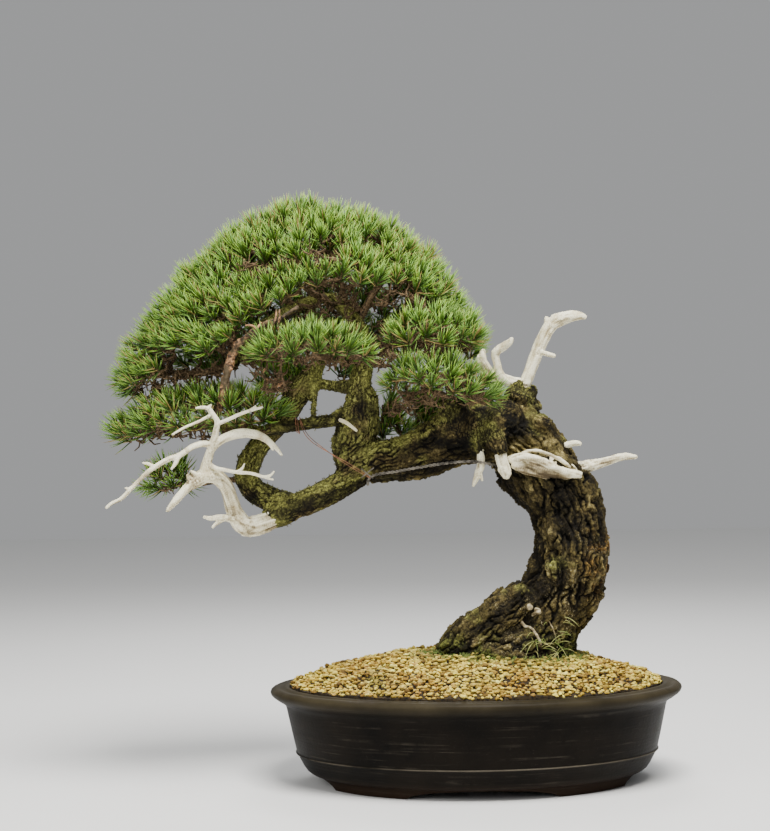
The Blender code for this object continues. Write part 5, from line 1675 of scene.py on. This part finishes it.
# The part that reaches up into the crown gets painted shade
set_number(flaking.data, "dusk", ramp(points[:, 2], TREE.z + 0.526, TREE.z + 0.540))
strips = tubes("bark_strips", [on_tree(line) for line in (
    [(-157, -104, 545, 0.9), (-149, -110, 544, 1.2), (-144, -112, 540, 1.5), (-147, -110, 530, 0.9)],
    [(-139, -108, 548, 0.8), (-143, -112, 541, 1.3), (-149, -108, 532, 0.9)],
    [(-121.5, -110, 562, 1.0), (-122, -115, 552, 1.3), (-128, -114, 538, 0.9)],
    [(-118, -110, 562, 1.0), (-118, -115, 552, 1.3), (-120, -114, 540, 0.9)])], sides=2)
flake_finish, tree, shader = new_material("flaking_bark", 0.75)
scales = patchy(tree, 210.0, 0.44, 0.56)
wide = patchy(tree, 60.0, 0.42, 0.60)
tone = blend(tree, scales, (0.045, 0.022, 0.010), (0.560, 0.300, 0.140))
tone = blend(tree, wide, tone, (0.085, 0.058, 0.026))
# Painted shade on the branch's upper part
tone = times(tree, tone, blend(tree, number(tree, "dusk"), (1.0, 1.0, 1.0), (0.30, 0.34, 0.30)))
coloured(tree, shader, tone)
relief(tree, shader, 500.0, 0.9, 0.0012)
dress(flaking, flake_finish, "bark")
dress(strips, flake_finish, "bark")

# %% [markdown]
# ## Wires
#
# Two wires still hold the limbs: a grey one along the front of the main limb, and a thinner copper one
# over the open ring. Each is two strands twisted together. The route is drawn first as a line that is
# pulled taut over the bark, and then the two strands wind round that line half a turn apart.


# %% Routes, drawn taut over the wood
def loop_points(centre, axis, start, turns, pitch):
    """Points of a helix round an axis, from the place start, twelve to a turn."""
    axis = Vector(axis).normalized()
    out = Vector(start) - Vector(centre)
    count = round(turns * 12)
    return [
        Vector(centre) + Matrix.Rotation(turns * math.tau * index / count, 3, axis) @ out
        + axis * pitch * turns * index / count
        for index in range(count + 1)]


def evenly_spaced(points, spacing):
    """The same route in steps of one length."""
    route = [points[0]]
    for target in points[1:]:
        while (target - route[-1]).length > spacing:
            route.append(route[-1] + (target - route[-1]).normalized() * spacing)
    return route


def drawn_taut(points, surface, clearance, rounds=14):
    """Draws a wire taut, while it is held off the surface that it lies on."""
    for _ in range(rounds):
        for index in range(1, len(points) - 1):
            points[index] = points[index].lerp((points[index - 1] + points[index + 1]) / 2, 0.3)
        for point in points:
            near, normal, _, distance = surface.find_nearest(point, 0.03)
            if near is None:
                continue
            room = math.copysign(distance, (point - near).dot(normal))
            if room < clearance:
                point += normal * (clearance - room)
    return points


def twisted(points, radius, pitch, apart=1.0):
    """Two strands that wind round a line, as lines of (x, y, z, radius)."""
    strands = [[], []]
    travelled = 0.0
    side = Vector((0.0, 0.0, 1.0))
    for index, point in enumerate(points):
        way = (points[min(index + 1, len(points) - 1)] - points[max(index - 1, 0)]).normalized()
        side = (side - way * side.dot(way)).normalized()
        travelled += (point - points[max(index - 1, 0)]).length
        for number_of, strand in enumerate(strands):
            out = Matrix.Rotation(math.tau * travelled / pitch + math.pi * number_of, 3, way) @ side
            strand.append((*(point + out * radius * apart), radius))
    return strands


# %% Two twisted wires
limb_loop = loop_points((-22, -6, 389), (-1, 0, 0), (-22, 26, 389), 0.40, 0.0)
run = [Vector(point) for point in (
    (-12, -42, 373), (14, -46, 375), (47, -48, 381), (80, -50, 385), (104, -51, 386), (118, -50, 383),
    (128, -44, 380), (140, -36, 378))]
cross_loop = loop_points((-106, -23, 431), (1, 0, 0), (-106, -10, 431), 1.5, 4.0)
drop = [Vector(point) for point in (
    (-92, -34, 415), (-66, -36, 398), (-42, -40, 383), (-26, -42, 373), (-16, -36, 366))]
ties = [
    on_tree([(-29, -43, 379, 0.8), (-22, -45, 373, 0.8), (-15, -44, 367, 0.7)]),
    on_tree([(-29, -43, 368, 0.8), (-22, -46, 374, 0.8), (-14, -45, 380, 0.7)])]
wires = {}
for name, route, radius, pitch, apart, more in (
        ("guy_wire", limb_loop + run, 0.00100, 0.0100, 1.0, ties),
        ("branch_wire", cross_loop + drop, 0.00048, 0.120, 2.6, [])):
    start = evenly_spaced([TREE + point * MM for point in route], 0.0040)
    taut = drawn_taut(start, bark_tree, 1.6 * radius)
    halves = [here.lerp(there, share) for here, there in zip(taut, taut[1:]) for share in (0.0, 0.5)]
    fine = evenly_spaced(halves, 0.0015)
    strands = twisted(fine, radius, pitch, apart) + more
    wires[name] = tubes(name + "_strands", strands, sides=0, smooth=False)

# %% Wire materials
for name, slot, dull, bright in (
        ("guy_wire", "dark_wire", (0.030, 0.025, 0.019), (0.270, 0.245, 0.200)),
        ("branch_wire", "copper_wire", (0.100, 0.040, 0.018), (0.420, 0.180, 0.090))):
    wire_finish, tree, shader = new_material(name, 0.48, 0.35)
    tarnish = patchy(tree, 130.0, 0.40, 0.60)
    coloured(tree, shader, blend(tree, tarnish, dull, bright))
    relief(tree, shader, 900.0, 0.3, 0.0002)
    dress(wires[name], wire_finish, slot, name)

# %% Mesh over the drain holes, and the staples that hold it
for kind, slot, dark, light, metal in (
        ("drain_mesh", "mesh_plastic", (0.012, 0.012, 0.011), (0.035, 0.034, 0.030), 0.0),
        ("mesh_staple", "dark_wire", (0.030, 0.022, 0.016), (0.110, 0.085, 0.060), 0.7)):
    under_finish, tree, shader = new_material(kind, 0.5, metal)
    soiled = patchy(tree, 240.0, 0.42, 0.62)
    coloured(tree, shader, blend(tree, soiled, dark, light))
    relief(tree, shader, 700.0, 0.3, 0.0003)
    for side in ("left", "right"):
        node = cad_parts[kind + "_" + side]
        node.data.materials.clear()
        node.data.materials.append(under_finish)

# %% [markdown]
# ## Floor and light
#
# A plain pale floor reaches far behind the tree, where it darkens by itself and meets a plain grey sky.
# Soft light from above and both sides keeps the dark fissures readable and lets the bleached wood stay
# bright.

# %% A wide flat floor
bpy.ops.mesh.primitive_plane_add(size=16.0, location=(0.0, -2.0, 0.0))
floor = named("floor")
bpy.ops.object.transform_apply(location=True, rotation=True, scale=True)
floor_finish, tree, shader = new_material("floor", 0.9)
shader.inputs["Base Color"].default_value = (0.86, 0.86, 0.85, 1.0)
floor.data.materials.append(floor_finish)


# %% Lamps and sky
def add_area(name, place, aim, size, power, colour):
    """A square lamp that points at a place."""
    data = bpy.data.lights.new(name, "AREA")
    data.shape = "SQUARE"
    data.size = size
    data.energy = power
    data.color = colour
    lamp = bpy.data.objects.new(name, data)
    bpy.context.scene.collection.objects.link(lamp)
    way = Vector(aim) - Vector(place)
    lamp.matrix_world = Matrix.Translation(place) @ way.to_track_quat("-Z", "Y").to_matrix().to_4x4()
    return lamp


add_area("key", (0.30, -0.95, 2.3), (0.0, 0.0, 0.40), 1.1, 110.0, (1.0, 0.98, 0.94))
add_area("fill", (-1.7, -1.8, 1.3), (0.0, 0.0, 0.40), 1.2, 24.0, (1.0, 0.99, 0.96))
add_area("back", (0.2, 1.5, 1.8), (0.0, 0.0, 0.50), 1.0, 20.0, (1.0, 1.0, 1.0))
world = bpy.data.worlds.new("sky")
bpy.context.scene.world = world
world.use_nodes = True
world.node_tree.nodes["Background"].inputs["Color"].default_value = (0.90, 0.91, 0.92, 1.0)
world.node_tree.nodes["Background"].inputs["Strength"].default_value = 0.40
